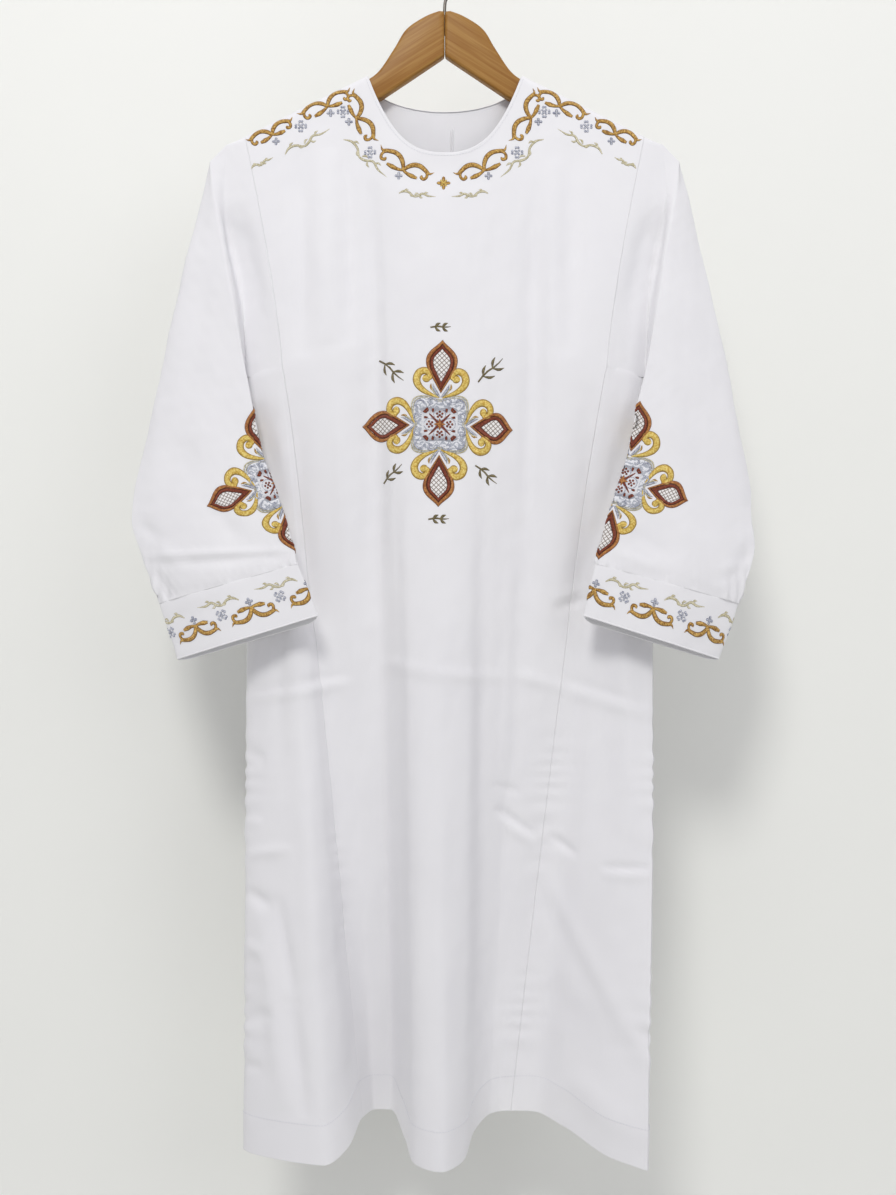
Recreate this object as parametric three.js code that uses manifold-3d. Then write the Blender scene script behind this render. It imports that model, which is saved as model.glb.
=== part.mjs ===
// Coptic deacon tunic hanging on a wooden hanger. Millimetres, +Z up, the front faces -Y.
// The origin is the inner top of the hanger's hook, where a rail carries it.
// "left" is the -X side, as seen by someone who looks at the front.
import * as THREE from 'three';
import { mergeVertices } from 'three/addons/utils/BufferGeometryUtils.js';
import Module from 'manifold-3d';

const wasm = await Module();
wasm.setup();

// Cloth
const WALL = 1.6;             // poly-cotton cloth with its lining of interfacing, as one wall
const HEM_EXTRA = 0.8;        // the turned-up hem is this much thicker, on the inside
const HEM_DEPTH = 36;
const SEAM_GAP = 0.3;         // between two pieces at a seam

// Neck and shoulders, as heights and half widths from the hanger's axis
const SHOULDER = { neckX: 73, neckZ: -122.8, tipX: 188.3, tipZ: -180.5, roll: 8 };
const NECK = {                  // depth of the curve is drop * (1 - across ** power) ** rounding
  front: { drop: 77.5, power: 2.7, rounding: 1 },
  back: { drop: 30.6, power: 2, rounding: 0.5 },
  columns: [1, 0.985, 0.94, 0.86],
};
const SLIT = { x: 7, halfWidth: 0.75, topZ: -168, bottomZ: -240 };

// Body
const UNDERARM_Z = -400.5;    // where the armhole seam turns into the princess seam
const SIDE_TOP_Z = -410;      // the gore's top at the side seam
const CHEST_SEAM_X = 151.4;   // half width of the centre panels at the underarm
const ARMHOLE = { spread: 36.9, power: 1.3 };
const HEM_Z = -1126;
const EASE = { across: 0.85, depth: 1.4, chest: 1.3, swell: 0.75 };

// The body's closed section, from the left side over the front to the right side and back round the
// back. Each row is one fold line or seam: where it lies at the chest and at the hem, and how far the
// hem is drawn up there.
const BODY_LINES = [
  { name: 'sideLeft',        chestX: -186,   chestY: 0,     hemX: -187, hemY: -22, lift: 0 },
  { name: 'goreFrontLeft',   chestX: -173,   chestY: -13,   hemX: -133, hemY: -57, lift: 0 },
  { name: 'bulgeLeft',       chestX: -164,   chestY: -17,   hemX: -109, hemY: -63, lift: 0 },
  { name: 'turnLeft',        chestX: -157,   chestY: -19,   hemX: -88,  hemY: -42, lift: 8 },
  { name: 'seamFrontLeft',   chestX: -151.4, chestY: -20,   hemX: -76,  hemY: -3,  lift: 21 },
  { name: 'flankLeft',       chestX: -108,   chestY: -24,   hemX: -66,  hemY: 22,  lift: 20 },
  { name: 'valleyLeft',      chestX: -68,    chestY: -21,   hemX: -51,  hemY: 24,  lift: 19 },
  { name: 'riseLeft',        chestX: -50,    chestY: -26,   hemX: -37,  hemY: -26, lift: 11 },
  { name: 'shoulderLeft',    chestX: -34,    chestY: -28.5, hemX: -27,  hemY: -62, lift: 1 },
  { name: 'centreBulge',     chestX: -6,     chestY: -29.5, hemX: -3,   hemY: -78, lift: 0 },
  { name: 'shoulderRight',   chestX: 26,     chestY: -28,   hemX: 17,   hemY: -54, lift: 0 },
  { name: 'riseRight',       chestX: 52,     chestY: -25.5, hemX: 27,   hemY: -17, lift: 13 },
  { name: 'valleyRight',     chestX: 84,     chestY: -22,   hemX: 43,   hemY: 15,  lift: 18 },
  { name: 'flankRight',      chestX: 112,    chestY: -25,   hemX: 52,   hemY: 19,  lift: 19 },
  { name: 'seamFrontRight',  chestX: 151.4,  chestY: -20,   hemX: 61,   hemY: 18,  lift: 20 },
  { name: 'turnRight',       chestX: 158,    chestY: -18,   hemX: 84,   hemY: 13,  lift: 21 },
  { name: 'goreFrontRight',  chestX: 165,    chestY: -16,   hemX: 109,  hemY: -15, lift: 18 },
  { name: 'bulgeRight',      chestX: 174,    chestY: -12,   hemX: 148,  hemY: -53, lift: 4 },
  { name: 'sideRight',       chestX: 186,    chestY: 0,     hemX: 181,  hemY: -75, lift: 0 },
  { name: 'returnRight',     chestX: 180,    chestY: 8,     hemX: 184,  hemY: -45, lift: 0 },
  { name: 'backTurnRight',   chestX: 172,    chestY: 13,    hemX: 176,  hemY: 8,   lift: 0 },
  { name: 'goreBackRight',   chestX: 163,    chestY: 16,    hemX: 128,  hemY: 27,  lift: 4 },
  { name: 'seamBackRight',   chestX: 151.4,  chestY: 17,    hemX: 79,   hemY: 45,  lift: 12 },
  { name: 'backBulgeRight',  chestX: 96,     chestY: 21,    hemX: 54,   hemY: 73,  lift: 8 },
  { name: 'backFlankRight',  chestX: 50,     chestY: 17,    hemX: 24,   hemY: 40,  lift: 3 },
  { name: 'backValley',      chestX: 4,      chestY: 18,    hemX: 3,    hemY: 12,  lift: 0 },
  { name: 'backFlankLeft',   chestX: -44,    chestY: 18,    hemX: -26,  hemY: 38,  lift: 4 },
  { name: 'backBulgeLeft',   chestX: -100,   chestY: 21,    hemX: -56,  hemY: 75,  lift: 9 },
  { name: 'seamBackLeft',    chestX: -151.4, chestY: 17,    hemX: -80,  hemY: 48,  lift: 13 },
  { name: 'goreBackLeft',    chestX: -164,   chestY: 16,    hemX: -116, hemY: 30,  lift: 4 },
  { name: 'backTurnLeft',    chestX: -176,   chestY: 12,    hemX: -166, hemY: 38,  lift: 0 },
];
const SWELL = { bulgeRight: 6, sideRight: 10, returnRight: 9, backTurnRight: 5 };   // outward, at the hips

// The left sleeve's sections, a row for each height. outer is the outside edge, fold the edge that lies
// over the body's side, inner the hollow behind that fold and, from the underarm down, the underarm seam;
// innerBack is how deep the back layer lies at that hollow. puff and sag open the tube forward and back.
// The swings carry the right sleeve's edges outward.
const SLEEVE_ROWS = [
  { name: 'head',     outer: [-222.2, 0, -206.6],   fold: [-220.5, -7.5, -205], inner: [-205, -7.5, -189],
    innerBack: 7.5, puff: 0,  sag: 6,  outerSwing: 0, foldSwing: 0 },
  { name: 'cap',      outer: [-227.6, -2, -235.6],  fold: [-215.5, -13, -238],  inner: [-208, -8, -236.4],
    innerBack: 8,   puff: 2,  sag: 7,  outerSwing: 2, foldSwing: 0 },
  { name: 'upper',    outer: [-239, -4, -280.4],    fold: [-207, -20, -284],    inner: [-201, -4, -281],
    innerBack: 9,   puff: 3,  sag: 8,  outerSwing: 0, foldSwing: 0 },
  { name: 'arm',      outer: [-251.8, -6, -334.5],  fold: [-196.5, -25, -338],  inner: [-191, -2, -336],
    innerBack: 8,   puff: 5,  sag: 9,  outerSwing: 0, foldSwing: 2 },
  { name: 'underarm', outer: [-266.8, -8, -404.4],  fold: [-182.9, -29, -409],  inner: [-188, -1, -407],
    innerBack: -1,  puff: 7,  sag: 10, outerSwing: 0, foldSwing: 2 },
  { name: 'below',    outer: [-273.4, -10, -437],   fold: [-176.2, -33, -441],  inner: [-189, -12, -438],
    innerBack: -12, puff: 7,  sag: 10, outerSwing: -2, foldSwing: 0 },
  { name: 'elbow',    outer: [-281.2, -12, -475.3], fold: [-167.9, -37, -479.7], inner: [-180, -25, -479],
    innerBack: -25, puff: 8,  sag: 10, outerSwing: -2, foldSwing: 1 },
  { name: 'forearm',  outer: [-290.2, -16, -519.6], fold: [-153, -44, -519.9],  inner: [-163, -33, -520],
    innerBack: -33, puff: 8,  sag: 10, outerSwing: -4, foldSwing: 3 },
  { name: 'crease',   outer: [-291.4, -20, -543.2], fold: [-144.6, -48, -544.8], inner: [-151, -37, -545],
    innerBack: -37, puff: 8,  sag: 10, outerSwing: -6, foldSwing: 3 },
  { name: 'gather',   outer: [-280.8, -25, -576.9], fold: [-135.9, -51, -572.3], inner: [-139, -40, -573],
    innerBack: -40, puff: 9,  sag: 10, outerSwing: 6, foldSwing: 3 },
  { name: 'cuffSeam', outer: [-263.4, -30, -621.3], fold: [-132.5, -54, -584.8], inner: [-135, -43, -586],
    innerBack: -43, puff: 10, sag: 11, outerSwing: 8, foldSwing: 4 },
  { name: 'cuffEnd',  outer: [-245.6, -34, -671.7], fold: [-114.4, -57, -631.3], inner: [-117, -46, -634],
    innerBack: -46, puff: 11, sag: 12, outerSwing: 7, foldSwing: 11 },
];

// Hanger
const ARM = {
  thickness: 12, bevel: 3, slope: 1.15, jointGap: 0.3,
  top: [[0, -62], [-17, -67], [-34, -78.5], [-45, -96], [-60, -118], [-75, -129.5]],
  tip: { x: -216.5, topZ: -208, bottomZ: -224 },
  under: [[-61, -145.2], [0, -106.4]],
};
const HOOK = { wire: 3, innerRadius: 20, endAngle: 205, seatDepth: 24, bore: 3.6 };

const CLOTH = { color: 0xeeeef3, roughness: 0.85, metalness: 0 };
const WOOD = { color: 0xbe9155, roughness: 0.5, metalness: 0 };
const WIRE = { color: 0x4a4640, roughness: 0.35, metalness: 0.9 };

// ---------------------------------------------------------------- interpolation

const mix = (a, b, t) => a + (b - a) * t;
const clamp01 = (t) => Math.min(1, Math.max(0, t));

// Monotone cubic through values at 0, 1, 2 ...: it turns exactly at a row and never overshoots it.
function monotone(values, s, closed) {
  const n = values.length;
  const at = (k) => (closed ? values[((k % n) + n) % n] : values[Math.min(n - 1, Math.max(0, k))]);
  const slope = (k) => {
    const before = at(k) - at(k - 1);
    const after = at(k + 1) - at(k);
    return before * after > 0 ? (2 * before * after) / (before + after) : 0;
  };
  const k = closed ? Math.floor(s) : Math.min(n - 2, Math.max(0, Math.floor(s)));
  const t = s - k;
  const t2 = t * t;
  const t3 = t2 * t;
  return (2 * t3 - 3 * t2 + 1) * at(k) + (t3 - 2 * t2 + t) * slope(k)
    + (3 * t2 - 2 * t3) * at(k + 1) + (t3 - t2) * slope(k + 1);
}

// ---------------------------------------------------------------- the body's surface

const lineIndex = (name) => BODY_LINES.findIndex((line) => line.name === name);
const column = (key) => BODY_LINES.map((line) => line[key]);
const bodyColumns = {
  chestX: column('chestX'), chestY: column('chestY'), hemX: column('hemX'), hemY: column('hemY'),
  lift: column('lift'), swell: BODY_LINES.map((line) => SWELL[line.name] ?? 0),
};
const bodyValue = (key, s) => monotone(bodyColumns[key], s, true);

// Half width of the centre panels above the underarm, from the armhole's curve.
function armholeX(z) {
  const rise = Math.max(0, (z - UNDERARM_Z) / (SHOULDER.tipZ - UNDERARM_Z));
  return CHEST_SEAM_X + ARMHOLE.spread * Math.min(1, rise ** ARMHOLE.power);
}

// The shoulder line, carried on past the neck with the same slope.
function shoulderZ(x) {
  const out = (Math.abs(x) - SHOULDER.neckX) / (SHOULDER.tipX - SHOULDER.neckX);
  return mix(SHOULDER.neckZ, SHOULDER.tipZ, Math.min(1, out));
}

function neckZ(x, { drop, power, rounding }) {
  const across = Math.min(1, Math.abs(x) / SHOULDER.neckX);
  return SHOULDER.neckZ - drop * (1 - across ** power) ** rounding;
}

// A point of the body's middle surface: s runs round the section, z is the height.
function bodyPoint(s, z) {
  const fall = clamp01((UNDERARM_Z - z) / (UNDERARM_Z - HEM_Z));
  const chestX = bodyValue('chestX', s);
  const chestY = bodyValue('chestY', s);
  const wide = armholeX(z) / CHEST_SEAM_X;
  const swell = bodyValue('swell', s) * Math.sin(Math.PI * fall ** EASE.swell);
  const x = mix(chestX * wide, bodyValue('hemX', s), fall ** EASE.across) + swell;
  let y = mix(chestY, bodyValue('hemY', s), fall ** EASE.depth);
  if (z > UNDERARM_Z) {
    const toShoulder = clamp01((z - UNDERARM_Z) / (shoulderZ(x) - UNDERARM_Z));
    const side = Math.sign(chestY);
    const depth = mix(Math.abs(chestY), SHOULDER.roll, toShoulder ** EASE.chest);
    const below = clamp01((shoulderZ(x) - z) / SHOULDER.roll);
    y = side * depth * Math.sqrt(1 - (1 - below) ** 2);
  }
  return new THREE.Vector3(x, y, z);
}

function bodyNormal(s, z) {
  const along = bodyPoint(s + 0.02, z).sub(bodyPoint(s - 0.02, z));
  const down = bodyPoint(s, z - 0.4).sub(bodyPoint(s, z + 0.05));
  return down.cross(along).normalize();
}

// ---------------------------------------------------------------- surfaces and walls

// A surface patch collects points, their normals, inner offsets and four-cornered cells.
class Surface {
  constructor() {
    this.points = [];
    this.cells = [];
  }

  // grid[i][j] = { at, normal, inside } with i down the piece and j across it
  addGrid(grid, skip = () => false) {
    const rows = grid.map((row) => row.map((point) => this.points.push(point) - 1));
    for (let i = 0; i + 1 < rows.length; i += 1) {
      for (let j = 0; j + 1 < rows[i].length; j += 1) {
        if (!skip(i, j)) {
          this.cells.push([rows[i][j], rows[i + 1][j], rows[i + 1][j + 1], rows[i][j + 1]]);
        }
      }
    }
  }
}

// Give a surface its wall: offset copies on both sides of it, joined along every open edge.
function wallGeometry(surface) {
  const keys = new Map();
  const merged = [];
  const index = surface.points.map((point) => {
    const key = point.at.toArray().map((value) => Math.round(value * 500)).join();
    if (!keys.has(key)) {
      keys.set(key, merged.push({ at: point.at, normal: new THREE.Vector3(), inside: point.inside }) - 1);
    }
    merged[keys.get(key)].normal.add(point.normal);
    return keys.get(key);
  });
  const positions = [];
  for (const { at, normal, inside } of merged) {
    normal.normalize();
    positions.push(...at.clone().addScaledVector(normal, WALL / 2).toArray());
    positions.push(...at.clone().addScaledVector(normal, -inside).toArray());
  }
  const faces = [];
  const open = new Map();
  for (const cell of surface.cells) {
    const corners = cell.map((k) => index[k]).filter((k, i, all) => all.indexOf(k) === i);
    if (corners.length < 3) continue;
    for (let i = 1; i + 1 < corners.length; i += 1) {
      faces.push(2 * corners[0], 2 * corners[i], 2 * corners[i + 1]);
      faces.push(2 * corners[0] + 1, 2 * corners[i + 1] + 1, 2 * corners[i] + 1);
    }
    corners.forEach((a, i) => {
      const b = corners[(i + 1) % corners.length];
      if (!open.delete(`${b},${a}`)) open.set(`${a},${b}`, [a, b]);
    });
  }
  for (const [a, b] of open.values()) {
    faces.push(2 * a, 2 * a + 1, 2 * b + 1, 2 * a, 2 * b + 1, 2 * b);
  }
  const geometry = new THREE.BufferGeometry();
  geometry.setAttribute('position', new THREE.Float32BufferAttribute(positions, 3));
  geometry.setIndex(faces);
  return geometry;
}

// Evenly divide each stretch between whole numbers, with the two ends drawn in by half the seam gap.
function stations(from, to, perLine) {
  const count = Math.round((to - from) * perLine);
  return Array.from({ length: count + 1 }, (_, k) => from + k / perLine);
}

const drawnIn = (edge, next) => {
  edge.at.add(next.at.clone().sub(edge.at).setLength(SEAM_GAP / 2));
};

// ---------------------------------------------------------------- body panels

const PANEL = { perLine: 2, closest: 0.3, rows: 20, perGore: 2, goreRows: 13, rollSteps: 3 };

// Heights down a panel: the roll over the shoulder, the long fall and the hem's turned-up depth.
function panelHeights(topZ, bottomZ, rows, roll) {
  const heights = [];
  for (let k = 0; k < roll; k += 1) {
    heights.push(topZ - SHOULDER.roll * (1 - Math.cos((k / roll) * Math.PI * 0.5)));
  }
  const start = roll ? topZ - SHOULDER.roll : topZ;
  const hemTop = bottomZ + HEM_DEPTH;
  for (let k = 0; k <= rows; k += 1) heights.push(mix(start, hemTop + 1.5, k / rows));
  heights.push(hemTop, mix(hemTop, bottomZ, 0.5), bottomZ);
  return heights;
}

const bottomOf = (s) => HEM_Z + bodyValue('lift', s);

function bodyGrid(columns, topOf, rows, roll) {
  const columnsOf = columns.map((s) => {
    const heights = panelHeights(topOf(s), bottomOf(s), rows, roll);
    return heights.map((z, i) => ({
      at: bodyPoint(s, z),
      normal: bodyNormal(s, z),
      inside: WALL / 2 + (i > heights.length - 4 ? HEM_EXTRA : 0),
    }));
  });
  for (let i = 0; i < columnsOf[0].length; i += 1) {
    drawnIn(columnsOf[0][i], columnsOf[1][i]);
    drawnIn(columnsOf[columns.length - 1][i], columnsOf[columns.length - 2][i]);
  }
  return columnsOf[0].map((_, i) => columnsOf.map((points) => points[i]));
}

// The section's station where the shoulder end of the neck lies, on the side between two stations.
function stationAtX(x, from, to) {
  let low = from;
  let high = to;
  const scale = CHEST_SEAM_X / SHOULDER.tipX;
  for (let k = 0; k < 40; k += 1) {
    const middle = (low + high) / 2;
    const less = bodyValue('chestX', middle) < x * scale;
    if (less === (bodyValue('chestX', from) < bodyValue('chestX', to))) low = middle;
    else high = middle;
  }
  return (low + high) / 2;
}

// Put columns at the wanted stations, in place of any other that lies close to one of them.
function withColumns(columns, wanted) {
  const clear = columns.filter((s, k) => k === 0 || k === columns.length - 1
    || wanted.every((other) => Math.abs(other - s) > PANEL.closest));
  return [...clear, ...wanted].sort((a, b) => a - b);
}

function centrePanel(from, to, neck, slit) {
  const neckXs = NECK.columns.flatMap((part) => [-SHOULDER.neckX * part, SHOULDER.neckX * part]);
  const slitXs = slit ? [SLIT.x - SLIT.halfWidth, SLIT.x + SLIT.halfWidth] : [];
  const slitEdges = slitXs.map((x) => stationAtX(x, from, to));
  const corners = neckXs.map((x) => stationAtX(x, from, to));
  const columns = withColumns(stations(from, to, PANEL.perLine), [...corners, ...slitEdges]);
  const topOf = (s) => {
    const x = bodyValue('chestX', s) * (SHOULDER.tipX / CHEST_SEAM_X);
    const start = Math.abs(x) < SHOULDER.neckX ? neckZ(x, neck) : shoulderZ(x);
    return start - SHOULDER.roll * (1 - Math.sqrt(1 - (SEAM_GAP / 2 / SHOULDER.roll) ** 2));
  };
  const grid = bodyGrid(columns, topOf, PANEL.rows, PANEL.rollSteps);
  const skip = (i, j) => slit
    && columns[j] >= Math.min(...slitEdges) - 1e-9 && columns[j + 1] <= Math.max(...slitEdges) + 1e-9
    && grid[i][j].at.z < SLIT.topZ && grid[i + 1][j].at.z > SLIT.bottomZ;
  const surface = new Surface();
  surface.addGrid(grid, skip);
  return wallGeometry(surface);
}

// A gore's top edge falls from the princess seam to the side seam.
function goreTop(s, seam, side) {
  return mix(UNDERARM_Z, SIDE_TOP_Z, clamp01(Math.abs(s - seam) / Math.abs(side - seam)));
}

function gorePanel(from, to, seam, side) {
  const columns = stations(from, to, PANEL.perGore);
  const topOf = (s) => goreTop(s, seam, side) - SEAM_GAP / 2;
  const surface = new Surface();
  surface.addGrid(bodyGrid(columns, topOf, PANEL.goreRows, 0));
  return wallGeometry(surface);
}

// ---------------------------------------------------------------- sleeves

const SLEEVE = { capAcross: 3, ringAcross: 2, rollSteps: 3, perRow: 2, cuffRows: 3 };
const rowIndex = (name) => SLEEVE_ROWS.findIndex((row) => row.name === name);
const UNDERARM_ROW = rowIndex('underarm');
const CUFF_ROW = rowIndex('cuffSeam');
const LAST_ROW = SLEEVE_ROWS.length - 1;
const ROLL_ROWS = (UNDERARM_ROW * SHOULDER.roll) / (SHOULDER.tipZ - UNDERARM_Z);
const RING = { inner: 1, outer: 4, innerBack: 6 };   // places round the sleeve; 0 and 7 are the armhole
const ARMHOLE_STATIONS = {
  left: ['seamFrontLeft', 'sideLeft', 'seamBackLeft'],
  right: ['seamFrontRight', 'sideRight', 'seamBackRight'],
};

function sleeveValue(key, axis, v) {
  return monotone(SLEEVE_ROWS.map((row) => (axis === null ? row[key] : row[key][axis])), v);
}

// Control points of one sleeve at a height, in order round the ring from inner to innerBack.
function sleeveControls(v, side) {
  const roll = Math.sqrt(1 - (1 - clamp01(v / ROLL_ROWS)) ** 2);
  const place = (key, swing) => new THREE.Vector3(
    sleeveValue(key, 0, v) - (side > 0 ? sleeveValue(swing, null, v) : 0),
    sleeveValue(key, 1, v),
    sleeveValue(key, 2, v),
  );
  const outer = place('outer', 'outerSwing');
  const fold = place('fold', 'foldSwing');
  const inner = place('inner', 'foldSwing');
  const innerBack = inner.clone().setY(sleeveValue('innerBack', null, v));
  const front = fold.clone().lerp(outer, 0.5);
  front.y -= sleeveValue('puff', null, v);
  const back = innerBack.clone().lerp(outer, 0.5);
  back.y += sleeveValue('sag', null, v);
  return [inner, fold, front, outer, back, innerBack]
    .map((point) => new THREE.Vector3(-side * point.x, point.y * roll, point.z));
}

function ringPoint(v, a, side) {
  const controls = sleeveControls(v, side);
  const value = (axis) => monotone(controls.map((point) => point[axis]), a - RING.inner);
  return new THREE.Vector3(value('x'), value('y'), value('z'));
}

// The armhole's stations on the body: its front seam, the side seam and its back seam.
function armhole(side) {
  const [front, under, back] = ARMHOLE_STATIONS[side > 0 ? 'right' : 'left'].map(lineIndex);
  return side > 0 ? { front, under, back } : { front, under, back: back - BODY_LINES.length };
}

const armholeZ = (v) => mix(SHOULDER.tipZ, UNDERARM_Z, v / UNDERARM_ROW);

// A point between the armhole seam (t = 0) and the hollow behind the fold (t = 1). The last row follows
// the top edge of the gore.
function capPoint(v, t, side, isBack) {
  const { front, under, back } = armhole(side);
  const seam = isBack ? back : front;
  const hollow = (row) => ringPoint(row, isBack ? RING.innerBack : RING.inner, side);
  const start = (row) => bodyPoint(seam, armholeZ(row));
  const station = mix(seam, under, t);
  const edge = bodyPoint(station, goreTop(station, seam, under) + SEAM_GAP / 2)
    .lerp(hollow(UNDERARM_ROW), t ** 3);
  const bow = edge.sub(start(UNDERARM_ROW).lerp(hollow(UNDERARM_ROW), t));
  return start(v).lerp(hollow(v), t).addScaledVector(bow, (v / UNDERARM_ROW) ** 2);
}

// a runs round the sleeve: 0 to 1 from the front of the armhole to the hollow, 1 to 6 round the ring
// and 6 to 7 back to the armhole.
function sleevePoint(v, a, side) {
  if (a < RING.inner) return capPoint(v, a, side, false);
  if (a > RING.innerBack) return capPoint(v, RING.innerBack + 1 - a, side, true);
  return ringPoint(v, a, side);
}

function sleeveNormal(v, a, side, low, high) {
  const step = 0.02;
  const last = v <= UNDERARM_ROW ? UNDERARM_ROW : LAST_ROW;
  const around = sleevePoint(v, Math.min(high, a + step), side)
    .sub(sleevePoint(v, Math.max(low, a - step), side));
  const down = sleevePoint(Math.min(last, v + step), a, side)
    .sub(sleevePoint(Math.max(0, v - step / 10), a, side));
  return around.cross(down).multiplyScalar(-side).normalize();
}

function sleeveGrid(levels, places, side, extra) {
  const low = places[0];
  const high = places[places.length - 1];
  const grid = levels.map((v) => places.map((a) => ({
    at: sleevePoint(v, a, side),
    normal: sleeveNormal(v, a, side, low, high),
    inside: WALL / 2 + extra,
  })));
  return grid;
}

// Cloth normals at the armhole follow the body, so that the two pieces meet edge to edge; at the
// underarm point the sleeve faces down.
function matchArmhole(grid, levels, places, side) {
  const { front, under, back } = armhole(side);
  const lastRow = grid.length - 1;
  const down = new THREE.Vector3(0, 0, -1);
  grid.forEach((row, i) => {
    row[0].normal = bodyNormal(front, armholeZ(levels[i]));
    row[row.length - 1].normal = bodyNormal(back, armholeZ(levels[i]));
    drawnIn(row[0], row[1]);
    drawnIn(row[row.length - 1], row[row.length - 2]);
  });
  places.forEach((a, j) => {
    const isFront = a <= RING.inner;
    const t = isFront ? a : RING.innerBack + 1 - a;
    if (t < 0 || t > 1) return;
    const station = mix(isFront ? front : back, under, t);
    grid[lastRow][j].normal = bodyNormal(station, UNDERARM_Z - 1).lerp(down, t ** 3).normalize();
  });
}

const ordered = (grid, side) => (side > 0 ? grid : grid.map((row) => [...row].reverse()));

function sleevePiece(side) {
  const rollLevels = stations(0, SLEEVE.rollSteps, 1)
    .map((k) => ROLL_ROWS * (1 - Math.cos((k / SLEEVE.rollSteps) * Math.PI * 0.5)));
  const upperLevels = [...rollLevels, ...stations(0.5, UNDERARM_ROW, SLEEVE.perRow)];
  const cap = stations(0, 1, SLEEVE.capAcross);
  const ring = stations(RING.inner, RING.innerBack, SLEEVE.ringAcross);
  const capBack = cap.map((t) => RING.innerBack + t);
  const places = [...cap.slice(0, -1), ...ring, ...capBack.slice(1)];
  const upper = sleeveGrid(upperLevels, places, side, 0);
  matchArmhole(upper, upperLevels, places, side);
  const lowerLevels = stations(UNDERARM_ROW, CUFF_ROW, SLEEVE.perRow);
  const lower = sleeveGrid(lowerLevels, ring, side, 0);
  const joint = upper[upper.length - 1].slice(cap.length - 1, cap.length - 1 + ring.length);
  lower[0] = joint;
  lower[lower.length - 1].forEach((point, j) => drawnIn(point, lower[lower.length - 2][j]));
  const surface = new Surface();
  surface.addGrid(ordered(upper, side));
  surface.addGrid(ordered(lower, side));
  return wallGeometry(surface);
}

function cuffPiece(side) {
  const levels = stations(CUFF_ROW, LAST_ROW, SLEEVE.cuffRows);
  const ring = stations(RING.inner, RING.innerBack, SLEEVE.ringAcross);
  const grid = sleeveGrid(levels, ring, side, HEM_EXTRA);
  grid[0].forEach((point, j) => drawnIn(point, grid[1][j]));
  const surface = new Surface();
  surface.addGrid(ordered(grid, side));
  return wallGeometry(surface);
}

// ---------------------------------------------------------------- hanger

function armOutline() {
  const { top, tip, under, jointGap, bevel } = ARM;
  const edge = jointGap / 2 + bevel;
  const drop = bevel * ARM.slope;
  const shape = new THREE.Shape();
  shape.moveTo(edge, top[0][1] - bevel);
  shape.splineThru(top.slice(1).map(([x, z]) => new THREE.Vector2(-x, z - drop)));
  shape.lineTo(-tip.x - bevel, tip.topZ - bevel);
  shape.lineTo(-tip.x - bevel, tip.bottomZ + bevel);
  shape.quadraticCurveTo(-under[0][0] + 30, under[0][1] - 12 + bevel, -under[0][0], under[0][1] + bevel);
  shape.quadraticCurveTo(-under[0][0] - 30, under[0][1] + 20 + bevel, edge, under[1][1] + bevel);
  shape.closePath();
  return shape;
}

function toManifold(geometry) {
  geometry.deleteAttribute('normal');
  geometry.deleteAttribute('uv');
  const merged = mergeVertices(geometry, 1e-4);
  return new wasm.Manifold(new wasm.Mesh({
    numProp: 3,
    vertProperties: new Float32Array(merged.attributes.position.array),
    triVerts: new Uint32Array(merged.index.array),
  }));
}

function fromManifold(solid) {
  const mesh = solid.getMesh();
  const geometry = new THREE.BufferGeometry();
  geometry.setAttribute('position', new THREE.BufferAttribute(mesh.vertProperties, 3));
  geometry.setIndex(new THREE.BufferAttribute(mesh.triVerts, 1));
  return geometry;
}

// The right arm, with half of the hook's bore cut out of the joint face.
function armGeometry() {
  const flat = ARM.thickness - 2 * ARM.bevel;
  const arm = new THREE.ExtrudeGeometry(armOutline(), {
    depth: flat, bevelThickness: ARM.bevel, bevelSize: ARM.bevel, bevelSegments: 2, curveSegments: 5,
  });
  arm.translate(0, 0, -flat / 2);
  arm.rotateX(Math.PI / 2);
  const bore = new THREE.CylinderGeometry(HOOK.bore / 2, HOOK.bore / 2, 2 * HOOK.seatDepth, 12);
  bore.rotateX(Math.PI / 2);
  bore.translate(0, 0, ARM.top[0][1]);
  return fromManifold(toManifold(arm).subtract(toManifold(bore)));
}

class HookPath extends THREE.Curve {
  constructor() {
    super();
    const radius = HOOK.innerRadius + HOOK.wire / 2;
    const centreZ = -HOOK.innerRadius;
    const start = ARM.top[0][1] - HOOK.seatDepth + SEAM_GAP + HOOK.wire / 2;
    const points = [[0, start], [0, -70], [0, -58], [1.5, -50], [8, -42]];
    for (let angle = -50; angle <= HOOK.endAngle; angle += 15) {
      const turn = (angle * Math.PI) / 180;
      points.push([radius * Math.cos(turn), centreZ + radius * Math.sin(turn)]);
    }
    this.route = new THREE.CatmullRomCurve3(points.map(([x, z]) => new THREE.Vector3(x, 0, z)));
  }

  getPoint(t, target = new THREE.Vector3()) {
    return this.route.getPoint(t, target);
  }
}

function hookGeometry() {
  const section = new THREE.Shape();
  section.absarc(0, 0, HOOK.wire / 2, 0, Math.PI * 2);
  return new THREE.ExtrudeGeometry(section, { extrudePath: new HookPath(), steps: 40, curveSegments: 4 });
}

// ---------------------------------------------------------------- assembly

const material = (look) => new THREE.MeshStandardMaterial({ ...look, side: THREE.FrontSide });

function named(name, geometry, look) {
  geometry.computeVertexNormals();
  const mesh = new THREE.Mesh(geometry, material(look));
  mesh.name = name;
  return mesh;
}

const tunic = new THREE.Group();
const station = Object.fromEntries(BODY_LINES.map((line, k) => [line.name, k]));
const lastLine = BODY_LINES.length;

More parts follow.
